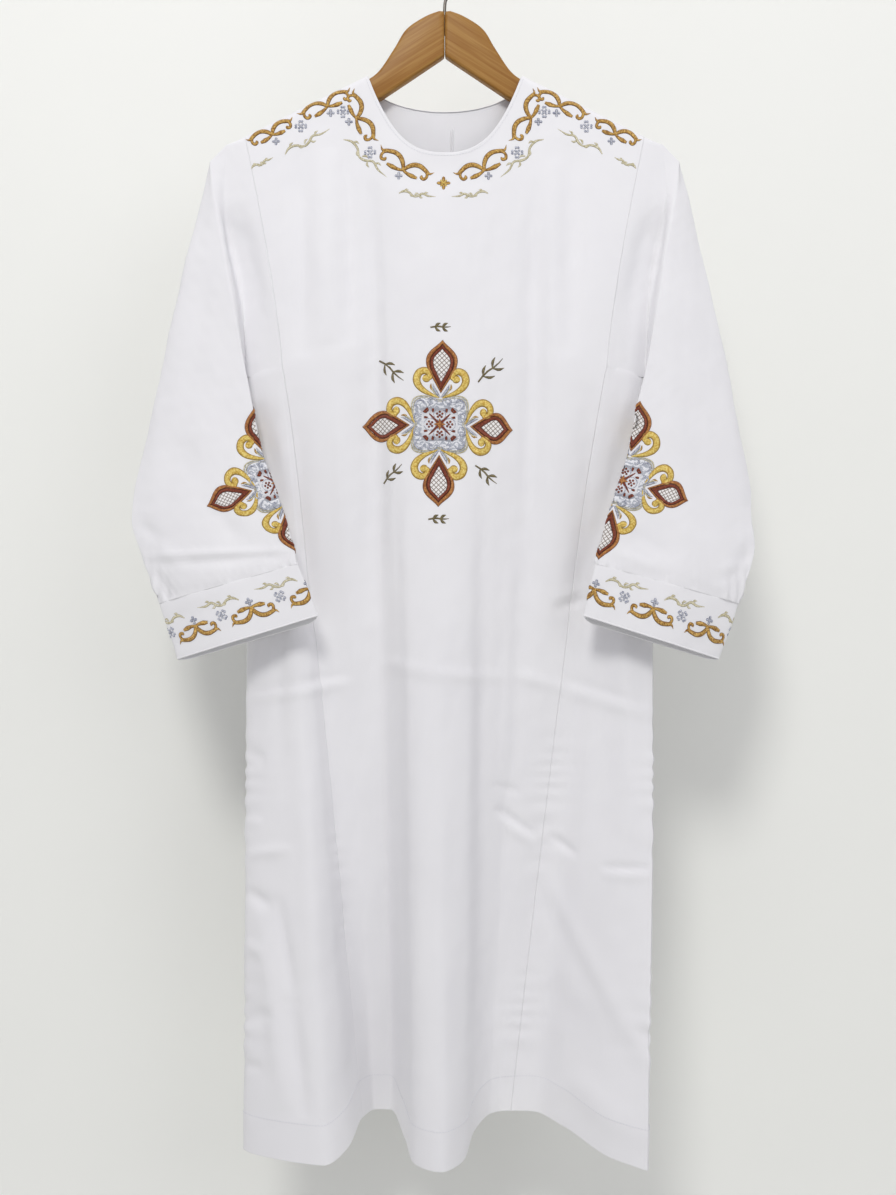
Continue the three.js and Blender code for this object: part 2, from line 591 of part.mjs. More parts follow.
tunic.add(named('front_panel',
  centrePanel(station.seamFrontLeft, station.seamFrontRight, NECK.front, false), CLOTH));
tunic.add(named('back_panel',
  centrePanel(station.seamBackRight, station.seamBackLeft, NECK.back, true), CLOTH));
tunic.add(named('front_side_left',
  gorePanel(station.sideLeft, station.seamFrontLeft, station.seamFrontLeft, station.sideLeft), CLOTH));
tunic.add(named('front_side_right',
  gorePanel(station.seamFrontRight, station.sideRight, station.seamFrontRight, station.sideRight), CLOTH));
tunic.add(named('back_side_right',
  gorePanel(station.sideRight, station.seamBackRight, station.seamBackRight, station.sideRight), CLOTH));
tunic.add(named('back_side_left',
  gorePanel(station.seamBackLeft, lastLine, station.seamBackLeft, lastLine), CLOTH));
for (const [name, side] of [['left', -1], ['right', 1]]) {
  tunic.add(named(`sleeve_${name}`, sleevePiece(side), CLOTH));
  tunic.add(named(`cuff_${name}`, cuffPiece(side), CLOTH));
}

const hanger = new THREE.Group();
hanger.add(named('hanger_arm_right', armGeometry(), WOOD));
const leftArm = named('hanger_arm_left', armGeometry(), WOOD);
leftArm.rotation.z = Math.PI;
hanger.add(leftArm);
hanger.add(named('hanger_hook', hookGeometry(), WIRE));

const group = new THREE.Group();
group.add(tunic, hanger);

export default group;
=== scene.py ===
import math
import bpy
import numpy as np
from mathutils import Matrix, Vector


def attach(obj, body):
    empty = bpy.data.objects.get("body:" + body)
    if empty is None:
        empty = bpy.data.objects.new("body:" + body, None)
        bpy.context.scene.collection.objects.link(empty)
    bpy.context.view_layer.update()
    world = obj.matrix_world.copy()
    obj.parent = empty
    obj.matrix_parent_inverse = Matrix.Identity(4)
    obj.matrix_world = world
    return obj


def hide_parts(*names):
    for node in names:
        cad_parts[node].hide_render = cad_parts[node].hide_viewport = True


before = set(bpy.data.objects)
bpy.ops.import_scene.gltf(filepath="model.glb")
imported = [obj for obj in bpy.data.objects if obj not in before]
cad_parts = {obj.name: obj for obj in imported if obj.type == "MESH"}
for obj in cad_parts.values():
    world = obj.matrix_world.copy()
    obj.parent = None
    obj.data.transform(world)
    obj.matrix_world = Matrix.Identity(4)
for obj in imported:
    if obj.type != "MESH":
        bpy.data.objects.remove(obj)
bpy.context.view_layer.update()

metre = 0.001   # every table below is in millimetres, in the frame of the hanger's hook
print("frame loaded:", len(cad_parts), "nodes")


# curves and grids
def clamp01(t):
    # t held between 0 and 1
    return np.clip(t, 0.0, 1.0)


def mix(a, b, t):
    # a where t is 0, b where t is 1, and straight between them
    return a + (b - a) * t


def smooth(t):
    # 0 to 1 with a level start and end: 3t² - 2t³
    t = clamp01(t)
    return t * t * (3 - 2 * t)


def window(t, low, high, fadeIn, fadeOut):
    # 0 outside low to high and 1 within, with soft ends
    return smooth((t - low) / fadeIn) * smooth((high - t) / fadeOut)


def turning(values, s, closed=False):
    # monotone cubic through values at 0, 1, 2 ...: slopes are harmonic means, so it turns only at a row
    values = np.asarray(values, float)
    s = np.asarray(s, float)
    n = len(values)
    k = np.floor(s).astype(int)
    k = k if closed else np.clip(k, 0, n - 2)
    t = s - k

    def at(i):
        i = i % n if closed else np.clip(i, 0, n - 1)
        return values[i] if values.ndim == 1 else np.take_along_axis(values, i[None], 0)[0]

    def slope(i):
        before, after = at(i) - at(i - 1), at(i + 1) - at(i)
        product = before * after
        total = np.where(product > 0, before + after, 1.0)
        return np.where(product > 0, 2 * product / total, 0.0)

    t2, t3 = t * t, t * t * t
    return ((2 * t3 - 3 * t2 + 1) * at(k) + (t3 - 2 * t2 + t) * slope(k)
            + (3 * t2 - 2 * t3) * at(k + 1) + (t3 - t2) * slope(k + 1))


def unit(vectors):
    # each vector over its own length
    return vectors / np.maximum(np.linalg.norm(vectors, axis=-1, keepdims=True), 1e-12)


def arcLength(path):
    # length along a path of points, from its start to each of them
    return np.concatenate([[0], np.cumsum(np.linalg.norm(np.diff(path, axis=0), axis=-1))])


def ripple(x, z, seed, wave, count=7):
    # soft unevenness: the mean of a few plane waves in seeded directions
    rng = np.random.default_rng(seed)
    total = 0
    for _ in range(count):
        turn, phase = rng.uniform(0, math.tau, 2)
        length = wave * rng.uniform(0.7, 1.6)
        total = total + np.sin((x * math.cos(turn) + z * math.sin(turn)) * math.tau / length + phase)
    return total / count ** 0.5


def creases(x, z, rows):
    # each row is a soft trough (depth < 0) or ridge along a line from (x0, z0) to (x1, z1): a bell across
    # it, tapered to nothing at both ends
    total = np.zeros(np.broadcast(x, z).shape)
    for x0, z0, x1, z1, width, depth in rows:
        dx, dz = x1 - x0, z1 - z0
        length2 = dx * dx + dz * dz
        t = ((x - x0) * dx + (z - z0) * dz) / length2
        off = ((x - x0) * dz - (z - z0) * dx) / length2 ** 0.5
        ends = np.sin(np.pi * clamp01(t)) ** 0.6
        total += depth * ends * np.exp(-(off / width) ** 2)
    return total


def meshObject(name, points, quads, uv=None, shade=None, material=None):
    # points (n, 3) in millimetres, quads (m, 4); uv (n, 2) and shade (n,) are carried per point
    mesh = bpy.data.meshes.new(name)
    points = np.asarray(points, np.float32) * metre
    quads = np.asarray(quads, np.int32)
    size = quads.shape[1]
    mesh.vertices.add(len(points))
    mesh.vertices.foreach_set("co", points.ravel())
    mesh.loops.add(quads.size)
    mesh.loops.foreach_set("vertex_index", quads.ravel())
    mesh.polygons.add(len(quads))
    mesh.polygons.foreach_set("loop_start", np.arange(len(quads), dtype=np.int32) * size)
    mesh.polygons.foreach_set("use_smooth", np.full(len(quads), True))
    mesh.update(calc_edges=True)
    if uv is not None:
        layer = mesh.uv_layers.new(name="cut")
        layer.data.foreach_set("uv", np.asarray(uv, np.float32)[quads.ravel()].ravel())
    if shade is not None:
        attribute = mesh.attributes.new("shade", "FLOAT", "POINT")
        attribute.data.foreach_set("value", np.asarray(shade, np.float32))
    mesh.validate()
    item = bpy.data.objects.new(name, mesh)
    bpy.context.scene.collection.objects.link(item)
    if material is not None:
        mesh.materials.append(material)
    return item


def gridQuads(rows, columns, around=False, start=0):
    # corners of every cell, down the rows and then across; around joins the last column to the first
    i, j = np.meshgrid(np.arange(rows - 1), np.arange(columns if around else columns - 1), indexing="ij")
    nextJ = (j + 1) % columns
    corners = ((i, j), (i + 1, j), (i + 1, nextJ), (i, nextJ))
    cells = np.stack([row * columns + column for row, column in corners], -1)
    return cells.reshape(-1, 4) + start


def dress(item, node):
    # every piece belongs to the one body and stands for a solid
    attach(item, "root")
    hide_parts(node)
    return item


# camera, stage and light
cameraSettings = {"place": (3.1, -1320.0, -615.3), "focalPixels": 1397.0, "frameHeight": 1195.0,
                  "sensor": 36.0, "clip": (0.05, 60.0)}


def addCamera(settings):
    # the lens is the focal length in pixels over the frame's height, times the sensor's width
    data = bpy.data.cameras.new("camera")
    data.sensor_fit = "AUTO"
    data.sensor_width = settings["sensor"]
    data.lens = settings["focalPixels"] * settings["sensor"] / settings["frameHeight"]
    data.clip_start, data.clip_end = settings["clip"]
    camera = bpy.data.objects.new("camera", data)
    camera.location = [value * metre for value in settings["place"]]
    camera.rotation_euler = (math.radians(90), 0, 0)
    bpy.context.scene.collection.objects.link(camera)
    bpy.context.scene.camera = camera


addCamera(cameraSettings)
print("camera placed")

stageSettings = {"wallY": 160.0, "floorZ": -1900.0, "top": 1400.0, "near": -4200.0, "side": 4200.0,
                 "bend": 700.0, "bendRows": 24}


def addStage(settings):
    # a pale wall that sweeps forward into a pale floor on a quarter circle
    turn = np.linspace(0, math.pi / 2, settings["bendRows"])
    wallY, floorZ, bend = settings["wallY"], settings["floorZ"], settings["bend"]
    y = np.concatenate([[wallY], wallY - bend * (1 - np.cos(turn)), [settings["near"]]])
    z = np.concatenate([[settings["top"]], floorZ + bend * (1 - np.sin(turn)), [floorZ]])
    x = np.array([-settings["side"], settings["side"]])
    points = np.stack(np.broadcast_arrays(x, y[:, None], z[:, None]), -1).reshape(-1, 3)
    return meshObject("wall", points, gridQuads(len(y), 2))


def addLight(name, place, aim, size, power, colour=(1, 1, 1)):
    # a round area light, in metres, turned from its place towards its aim
    data = bpy.data.lights.new(name, "AREA")
    data.shape, data.size, data.energy, data.color = "DISK", size, power, colour
    light = bpy.data.objects.new(name, data)
    light.location = place
    light.rotation_euler = (Vector(aim) - Vector(place)).to_track_quat("-Z", "Y").to_euler()
    bpy.context.scene.collection.objects.link(light)


lightSettings = {"key": 31.5, "fill": 8.0, "wall": 12.0, "world": 0.46}
addLight("keyLight", (-0.45, -2.2, 1.3), (0, 0, -0.4), 0.7, lightSettings["key"], (1, 0.99, 0.97))
addLight("fillLight", (1.6, -2.2, 0.4), (0, 0, -0.4), 1.6, lightSettings["fill"], (0.98, 0.98, 1))
addLight("wallLight", (0, -1.4, 2.2), (0, 0.2, -0.3), 2.0, lightSettings["wall"])
room = bpy.data.worlds.new("room")
bpy.context.scene.world = room
room.use_nodes = True
background = room.node_tree.nodes["Background"]
background.inputs["Color"].default_value = (0.94, 0.93, 1.0, 1)
background.inputs["Strength"].default_value = lightSettings["world"]
bpy.context.scene.view_settings.view_transform = "Standard"
print("lights placed")


# materials
class Value:
    # wraps a socket, so that an expression adds its Math nodes
    def __init__(self, shader, socket):
        self.shader, self.socket = shader, socket

    def maths(self, operation, *others):
        inputs = dict(enumerate((self.socket, *others)))
        return self.shader.node("ShaderNodeMath", {"operation": operation}, inputs)

    def __add__(self, other):
        return self.maths("ADD", other)

    def __mul__(self, other):
        return self.maths("MULTIPLY", other)

    def __sub__(self, other):
        return self.maths("SUBTRACT", other)

    def __rsub__(self, other):
        return self.maths("MULTIPLY_ADD", -1.0, other)

    def sine(self):
        return self.maths("SINE")

    def absolute(self):
        return self.maths("ABSOLUTE")


class Shader:
    # one material: node() makes any node from its type, settings and socket values or links
    def __init__(self, name):
        self.material = bpy.data.materials.new(name)
        self.material.use_nodes = True
        self.tree = self.material.node_tree
        self.tree.nodes.clear()
        self.surface = self.tree.nodes.new("ShaderNodeBsdfPrincipled")
        output = self.tree.nodes.new("ShaderNodeOutputMaterial")
        self.tree.links.new(self.surface.outputs[0], output.inputs["Surface"])

    def node(self, kind, settings=None, inputs=None, output=0):
        made = self.tree.nodes.new(kind)
        for key, value in (settings or {}).items():
            if key == "stops":
                ramp = made.color_ramp
                while len(ramp.elements) < len(value):
                    ramp.elements.new(0.5)
                for element, (place, colour) in zip(ramp.elements, value):
                    element.position, element.color = place, (*colour, 1)
            else:
                setattr(made, key, value)
        for key, value in (inputs or {}).items():
            self.feed(made.inputs[key], value)
        return Value(self, made.outputs[output])

    def feed(self, socket, value):
        # a wrapped or bare socket is linked, a plain value is set; a colour gets its fourth number
        value = getattr(value, "socket", value)
        if isinstance(value, bpy.types.NodeSocket):
            self.tree.links.new(value, socket)
        elif isinstance(value, (tuple, list)) and len(value) == 3 and socket.type == "RGBA":
            socket.default_value = (*value, 1)
        else:
            socket.default_value = value

    def set(self, **inputs):
        # feeds the surface's inputs, named without their spaces
        names = {socket.name.replace(" ", ""): socket for socket in self.surface.inputs}
        for key, value in inputs.items():
            self.feed(names[key], value)

    def coordinates(self, output="Object"):
        made = self.tree.nodes.new("ShaderNodeTexCoord")
        return Value(self, made.outputs[output])

    def noise(self, vector, scale, detail=3.0, rough=0.5):
        inputs = {"Vector": vector, "Scale": scale, "Detail": detail, "Roughness": rough}
        return self.node("ShaderNodeTexNoise", {}, inputs)

    def blend(self, factor, first, second):
        return self.node("ShaderNodeMix", {"data_type": "RGBA"}, {0: factor, 6: first, 7: second}, output=2)

    def spread(self, value, low, high, top=1.0):
        # 0 at low, top at high, straight between
        return self.node("ShaderNodeMapRange", {}, {0: value, 1: low, 2: high, 3: 0.0, 4: top})

    def combine(self, x, y, z):
        return self.node("ShaderNodeCombineXYZ", {}, {"X": x, "Y": y, "Z": z})

    def bump(self, height, strength, distance):
        return self.node("ShaderNodeBump", {}, {"Height": height, "Strength": strength, "Distance": distance})

    def separate(self, vector):
        # the three parts of a vector
        made = self.node("ShaderNodeSeparateXYZ", {}, {"Vector": vector})
        outputs = made.socket.node.outputs
        return [Value(self, outputs[k]) for k in range(3)]


def wallPaint():
    # matt off-white with a soft mottle; its rear is clear, so that the tunic's back can be looked at
    s = Shader("wallPaint")
    mottle = s.noise(s.coordinates(), 3.0)
    behind = s.node("ShaderNodeNewGeometry", output=6)   # 1 on the rear of a face
    s.set(BaseColor=s.blend(mottle, (0.9, 0.908, 0.865), (0.93, 0.936, 0.895)), Roughness=0.9,
          Alpha=1.0 - behind)
    return s.material


poplinLook = {"threadPitch": 0.55, "slubScale": 900.0, "mottleScale": 14.0,
              "shadowed": (0.835, 0.83, 0.85), "plain": (0.88, 0.876, 0.888)}


def poplin():
    # plain weave: two thread waves at right angles along the cut, over a faint unevenness of the yarn
    s = Shader("poplin")
    across, down, _ = s.separate(s.coordinates("UV"))
    threads = 2 * math.pi / poplinLook["threadPitch"]
    weave = (across * threads).sine() * (down * threads).sine()
    slub = s.noise(s.coordinates(), poplinLook["slubScale"], 2.0)
    shade = s.noise(s.coordinates(), poplinLook["mottleScale"], 3.0)
    s.set(BaseColor=s.blend(shade, poplinLook["shadowed"], poplinLook["plain"]), Roughness=0.82,
          SheenWeight=0.15, SpecularIORLevel=0.25,
          Normal=s.bump(weave * 0.6 + slub * 0.5, 0.25, 0.0002))
    return s.material


clothMaterial = poplin()
wall = addStage(stageSettings)
wall.data.materials.append(wallPaint())
print("wall hung")


# the tunic's form
body = {
    "neckX": 73.0, "neckZ": -122.8, "tipX": 188.3, "tipZ": -180.5, "roll": 8.0,
    "frontNeck": (77.5, 2.7, 1.0), "backNeck": (30.6, 2.0, 0.5),   # drop, power, rounding
    "underarmZ": -400.5, "sideTopZ": -410.0, "chestSeamX": 151.4, "armholeSpread": 36.9, "armholePower": 1.3,
    "hemZ": -1126.0, "hemDepth": 36.0, "chestZ": -440.0,
    "easeAcross": 0.85, "easeDepth": 1.4, "easeChest": 1.3, "easeSwell": 0.75,
}
# the body's closed section: each row is a fold line or seam, with its place at the chest and at the hem
# and how far the hem is drawn up there
bodyLines = {   # name: (chestX, chestY, hemX, hemY, lift)
    "sideLeft": (-186, 0, -187, -22, 0), "goreFrontLeft": (-173, -13, -133, -57, 0),
    "bulgeLeft": (-164, -17, -109, -63, 0), "turnLeft": (-157, -19, -88, -42, 8),
    "seamFrontLeft": (-151.4, -20, -76, -3, 21), "flankLeft": (-108, -24, -66, 22, 20),
    "valleyLeft": (-68, -21, -51, 24, 19), "riseLeft": (-50, -26, -37, -26, 11),
    "shoulderLeft": (-34, -28.5, -27, -62, 1), "centreBulge": (-6, -29.5, -3, -78, 0),
    "shoulderRight": (26, -28, 17, -54, 0), "riseRight": (52, -25.5, 27, -17, 13),
    "valleyRight": (84, -22, 43, 15, 18), "flankRight": (112, -25, 52, 19, 19),
    "seamFrontRight": (151.4, -20, 61, 18, 20), "turnRight": (158, -18, 84, 13, 21),
    "goreFrontRight": (165, -16, 109, -15, 18), "bulgeRight": (174, -12, 148, -53, 4),
    "sideRight": (186, 0, 181, -75, 0), "returnRight": (180, 8, 184, -45, 0),
    "backTurnRight": (172, 13, 176, 8, 0), "goreBackRight": (163, 16, 128, 27, 4),
    "seamBackRight": (151.4, 17, 79, 45, 12), "backBulgeRight": (96, 21, 54, 73, 8),
    "backFlankRight": (50, 17, 24, 40, 3), "backValley": (4, 18, 3, 12, 0),
    "backFlankLeft": (-44, 18, -26, 38, 4), "backBulgeLeft": (-100, 21, -56, 75, 9),
    "seamBackLeft": (-151.4, 17, -80, 48, 13), "goreBackLeft": (-164, 16, -116, 30, 4),
    "backTurnLeft": (-176, 12, -166, 38, 0),
}
swell = {"bulgeRight": 6, "sideRight": 10, "returnRight": 9, "backTurnRight": 5}   # outward, at the hips
lineAt = {name: k for k, name in enumerate(bodyLines)}
lineColumns = np.array([(*row, swell.get(name, 0)) for name, row in bodyLines.items()], float).T


def lineValue(column, s):
    # one column of the table at station s, carried round the closed section
    return turning(lineColumns[column], s, closed=True)


def shoulderX(s):
    # how far across a station lies on the shoulder: its place at the chest, widened to the shoulder point
    return lineValue(0, s) * body["tipX"] / body["chestSeamX"]


def shoulderZ(x):
    # the shoulder line, carried on past the neck with the same slope
    return mix(body["neckZ"], body["tipZ"],
               np.minimum(1, (np.abs(x) - body["neckX"]) / (body["tipX"] - body["neckX"])))


def neckEdgeZ(x, neck):
    # the neck's curve falls by drop * (1 - across ** power) ** rounding
    drop, power, rounding = neck
    across = np.minimum(1, np.abs(x) / body["neckX"])
    return body["neckZ"] - drop * (1 - across ** power) ** rounding


def bodyPoint(s, z):
    # s runs round the section, z is the height: the chest's place eases to the hem's below the underarm,
    # and above it the section widens along the armhole and rolls over the shoulder on a quarter circle
    s, z = np.broadcast_arrays(np.asarray(s, float), np.asarray(z, float))
    fall = clamp01((body["underarmZ"] - z) / (body["underarmZ"] - body["hemZ"]))
    chestX, chestY, hemX, hemY = (lineValue(k, s) for k in range(4))
    rise = np.maximum(0, (z - body["underarmZ"]) / (body["tipZ"] - body["underarmZ"]))
    wide = 1 + body["armholeSpread"] * np.minimum(1, rise ** body["armholePower"]) / body["chestSeamX"]
    x = mix(chestX * wide, hemX, fall ** body["easeAcross"])
    x = x + lineValue(5, s) * np.sin(np.pi * fall ** body["easeSwell"])
    y = mix(chestY, hemY, fall ** body["easeDepth"])
    toShoulder = clamp01((z - body["underarmZ"]) / (shoulderZ(x) - body["underarmZ"]))
    depth = mix(np.abs(chestY), body["roll"], toShoulder ** body["easeChest"])
    below = clamp01((shoulderZ(x) - z) / body["roll"])
    rolled = np.sign(chestY) * depth * np.sqrt(1 - (1 - below) ** 2)
    return np.stack([x, np.where(z > body["underarmZ"], rolled, y), z], -1)


probe = {"station": 0.02, "down": 0.4, "up": 0.05, "rowBack": 0.002}   # steps for a surface's direction


def bodyNormal(s, z):
    # the cross product of a small step down and a small step along
    along = bodyPoint(s + probe["station"], z) - bodyPoint(s - probe["station"], z)
    down = bodyPoint(s, z - probe["down"]) - bodyPoint(s, z + probe["up"])
    return unit(np.cross(down, along))


# creases, one row each: x0, z0, x1, z1, half width, depth
frontCreases = [
    (-188, -711, -86, -694, 6, 1.5), (-188, -704, -86, -687, 5, -1.0),
    (-62, -675, 6, -687, 7, 1.0), (-10, -685, 66, -691, 6, 1.0), (62, -686, 114, -701, 6, 1.2),
    (106, -699, 196, -725, 7, 1.4), (110, -692, 190, -716, 5, -1.0),
    (-186, -855, -142, -846, 5, 1.6), (-186, -888, -160, -900, 6, -2.0), (-154, -888, -137, -990, 6, -2.2),
    (-140, -980, -128, -1088, 7, -2.6), (-170, -900, -146, -1082, 9, 2.4),
    (-186, -1004, -155, -997, 6, -1.6), (-186, -760, -166, -766, 6, -1.4),
    (-187, -826, -170, -822, 5, 1.2), (-186, -936, -165, -944, 6, 1.4), (-187, -1050, -168, -1046, 5, -1.4),
    (45, -790, 72, -800, 4, -1.0), (47, -812, 88, -842, 4.2, -1.9), (50, -822, 90, -850, 6, 1.1),
    (98, -838, 124, -857, 3.8, -1.6), (144, -865, 190, -863, 3.4, -1.9), (144, -871, 190, -870, 5, 1.2),
    (178, -1009, 192, -1021, 6, -2.0), (95, -982, 184, -1056, 20, -1.2),
    (87, -865, 179, -1030, 8, 0.8), (80, -880, 170, -1042, 9, -0.7),
    (110, -1060, 180, -1104, 16, 2.2), (100, -628, 132, -616, 5, -1.6), (98, -618, 136, -606, 6, 1.0),
    (-178, -434, -120, -650, 15, -3.0), (178, -434, 120, -650, 15, -3.0),
    (-134, -190, -133, -392, 9, -2.8), (-112, -194, -110, -380, 12, 2.2), (-92, -190, -87, -382, 8, -2.8),
    (-66, -230, -67, -640, 10, -2.8), (120, -190, 116, -392, 10, -2.8), (100, -204, 100, -440, 10, 1.8),
    (84, -226, 79, -620, 10, -3.0), (34, -470, 37, -1085, 9, -2.4), (-24, -700, -22, -1100, 10, 1.0),
    (6, -640, 10, -1090, 12, -1.2), (-140, -420, -128, -640, 10, -1.6), (138, -420, 122, -640, 10, -1.8),
    (-60, -216, 50, -222, 14, -1.0), (-46, -520, -44, -900, 7, -1.2), (62, -560, 56, -800, 6, 1.4),
    (-100, -420, -84, -700, 9, 1.2), (150, -640, 146, -860, 12, -1.6), (168, -600, 172, -840, 9, 1.6),
    (-128, -640, -118, -960, 12, 1.4), (-156, -560, -150, -800, 8, -1.2),
]
backCreases = [
    (-130, -200, -124, -400, 10, -2.0), (-78, -190, -70, -560, 12, -2.0), (58, -196, 66, -620, 12, -2.2),
    (120, -210, 112, -420, 10, -1.8), (-20, -260, -16, -700, 14, 1.6), (-186, -690, -70, -706, 7, 1.3),
    (-60, -700, 60, -686, 7, 1.1), (60, -690, 190, -716, 7, 1.4), (-186, -862, -130, -852, 6, -1.6),
    (110, -880, 186, -872, 6, -1.6), (-170, -980, -90, -1040, 18, -2.6), (96, -960, 176, -1040, 18, -2.8),
    (-110, -600, -96, -900, 12, 1.6), (118, -560, 104, -880, 12, 1.6), (20, -700, 22, -1080, 10, -1.8),
]
reliefLook = {"creases": 1.5, "hemRise": 0.35, "hemStep": 1.2, "shoulderFade": 14.0}
unevenness = [(0.35, 0.45, 5, 46), (0.16, 0.7, 8, 17)]   # height, how far it is drawn out in z, seed, wave
seamLook = {"puckered": (-1085.0, -690.0, 40.0, 60.0),   # lowest and highest height, and how softly each ends
            "drift": (4.0, 31.0), "jitter": (1.4, 12.3), "swell": 37.0, "allowance": 2.4}
seamPuckers = {   # height, wave and reach of the puckers
    "seamFrontLeft": (0.45, 13.0, 7), "seamFrontRight": (0.7, 17.0, 12), "seamBackLeft": (0.6, 13.0, 7),
    "seamBackRight": (0.6, 13.0, 7), "sideLeft": (0.9, 23.0, 10), "sideRight": (0.9, 23.0, 10),
}


def seamX(name, z):
    # how far across a seam runs at height z
    return bodyPoint(lineAt[name], z)[..., 0]


def bodyRelief(s, z, point):
    # what lies on the section's form: listed creases, a faint unevenness, waves of changing length and
    # height that die away from each lengthwise seam below the waist, and the turned hem's upper edge
    x = point[..., 0]
    inFront = ((s % len(bodyLines)) <= lineAt["sideRight"]).astype(float)
    relief = inFront * creases(x, z, frontCreases) + (1 - inFront) * creases(x, z, backCreases)
    relief = reliefLook["creases"] * relief
    for height, drawn, seed, wave in unevenness:
        relief = relief + height * ripple(x, z * drawn, seed, wave)
    puckered = window(z, *seamLook["puckered"])
    (drift, driftLength), (jitter, jitterLength) = seamLook["drift"], seamLook["jitter"]
    for name, (height, wave, reach) in seamPuckers.items():
        away = np.abs(x - seamX(name, z))
        same = inFront if "Front" in name else 1 - inFront if "Back" in name else 1.0
        phase = drift * np.sin(z / driftLength) + jitter * np.sin(z / jitterLength + height)
        pucker = np.sin(z * math.tau / wave + phase) * (0.5 + 0.5 * np.sin(z / seamLook["swell"] + wave))
        relief += same * height * puckered * pucker * np.exp(-away / reach)
    hemTop = bodyBottom(s) + body["hemDepth"]
    relief += reliefLook["hemRise"] * smooth((hemTop - z) / reliefLook["hemStep"])
    return relief * smooth((shoulderZ(x) - z) / reliefLook["shoulderFade"])


def bodyBottom(s):
    # the lower edge at station s: the hem, drawn up by the line's lift
    return body["hemZ"] + lineValue(4, s)


def bodySurface(s, z):
    # the finished cloth: its place, and the direction it faces
    s, z = np.broadcast_arrays(np.asarray(s, float), np.asarray(z, float))
    point, normal = bodyPoint(s, z), bodyNormal(s, z)
    return point + normal * bodyRelief(s, z, point)[..., None], normal


def evenStations(start, stop, spacing, samples=1600):
    # stations round the section whose mean spacing, chest and hem together, is even
    s = np.linspace(start, stop, samples)
    length = 0
    for z in (body["chestZ"], body["hemZ"]):
        length = length + arcLength(bodyPoint(s, z)) / 2
    count = max(6, int(round(length[-1] / spacing)))
    return np.interp(np.linspace(0, length[-1], count + 1), length, s)


def turnUnder(edge, outward, normal, radius, inside):
    # rows that carry an edge round a half circle and back along the inside; inside holds the rows that the
    # turned part lies against
    rows = []
    for angle in np.radians([45, 90, 135, 180]):
        rows.append(edge + outward * radius * math.sin(angle) - normal * radius * (1 - math.cos(angle)))
    for place, facing in inside:
        rows.append(place - facing * 2 * radius)
    return rows


panelLook = {"rollRows": 7, "hemRows": 14, "overRows": 12, "topOver": 2, "edge": 0.5, "close": 1.1,
             "tuck": 5.0, "hemGap": 1.4}


def closeRows(grid, gap):
    # one more row close to the first and to the last keeps the crease of a turned edge narrow
    ends = []
    for edge, beside in ((grid[0], grid[1]), (grid[-1], grid[-2])):
        reach = np.linalg.norm(beside - edge, axis=-1, keepdims=True)
        near = 0.0 if gap is None else gap / np.maximum(gap, reach)
        ends.append(mix(edge, beside, near)[None])
    return np.concatenate([grid[:1], ends[0], grid[1:-1], ends[1], grid[-1:]])


def clothPiece(name, points, normals, top=None, bottom=None, sides=None):
    # a grid of cloth with its turned edges: top and bottom give (radius, how many rows it is turned over),
    # sides gives how deep the seam allowance is turned in
    points, normals = closeRows(points, panelLook["close"]), closeRows(normals, None)
    if sides:
        points = closeRows(points.swapaxes(0, 1), panelLook["close"]).swapaxes(0, 1)
        normals = closeRows(normals.swapaxes(0, 1), None).swapaxes(0, 1)
    rows, facing = list(points), list(normals)
    if top:
        radius, over = top
        inside = [(points[k], normals[k]) for k in range(1, over + 1)]
        extra = turnUnder(points[0], unit(points[0] - points[1]), normals[0], radius, inside)
        rows, facing = extra[::-1] + rows, [normals[0]] * len(extra) + facing
    if bottom:
        radius, over = bottom
        inside = [(points[-1 - k], normals[-1 - k]) for k in range(1, over + 1)]
        extra = turnUnder(points[-1], unit(points[-1] - points[-2]), normals[-1], radius, inside)
        rows = rows + extra
        facing = facing + [normals[-1]] * (len(extra) - over) + [way for _, way in inside]
    grid = np.array(rows)
    if sides:
        inward = -sides * np.array(facing)
        grid = np.concatenate([(grid[:, 0] + inward[:, 0])[:, None], grid,
                               (grid[:, -1] + inward[:, -1])[:, None]], axis=1)
    down = np.linalg.norm(np.diff(grid, axis=0), axis=-1)
    across = np.linalg.norm(np.diff(grid, axis=1), axis=-1).mean(axis=0)
    v = np.concatenate([np.zeros((1, grid.shape[1])), np.cumsum(down, axis=0)])
    u = np.broadcast_to(np.concatenate([[0], np.cumsum(across)]), v.shape)
    cut = np.stack([u, v], -1).reshape(-1, 2)
    return meshObject(name, grid.reshape(-1, 3), gridQuads(*grid.shape[:2]), cut, None, clothMaterial)


cutLook = {"allowance": 10.0, "cuffHem": 20.0}


def noteCut(grids, hem):
    # a piece's cut: its own widths and lengths on the form, with seam allowances and the turned hem
    strips, allowance = [], cutLook["allowance"]
    for grid in grids:
        across = np.linalg.norm(np.diff(grid, axis=1), axis=-1).sum(axis=1)
        down = np.linalg.norm(np.diff(grid, axis=0), axis=-1).mean(axis=1)
        strips.append(np.stack([(across[1:] + across[:-1]) / 2, down]))
    across, down = np.concatenate(strips, axis=1)
    across = np.concatenate([across[:1], across, across[-1:]]) + 2 * allowance
    down = np.concatenate([[allowance], down, [hem]])


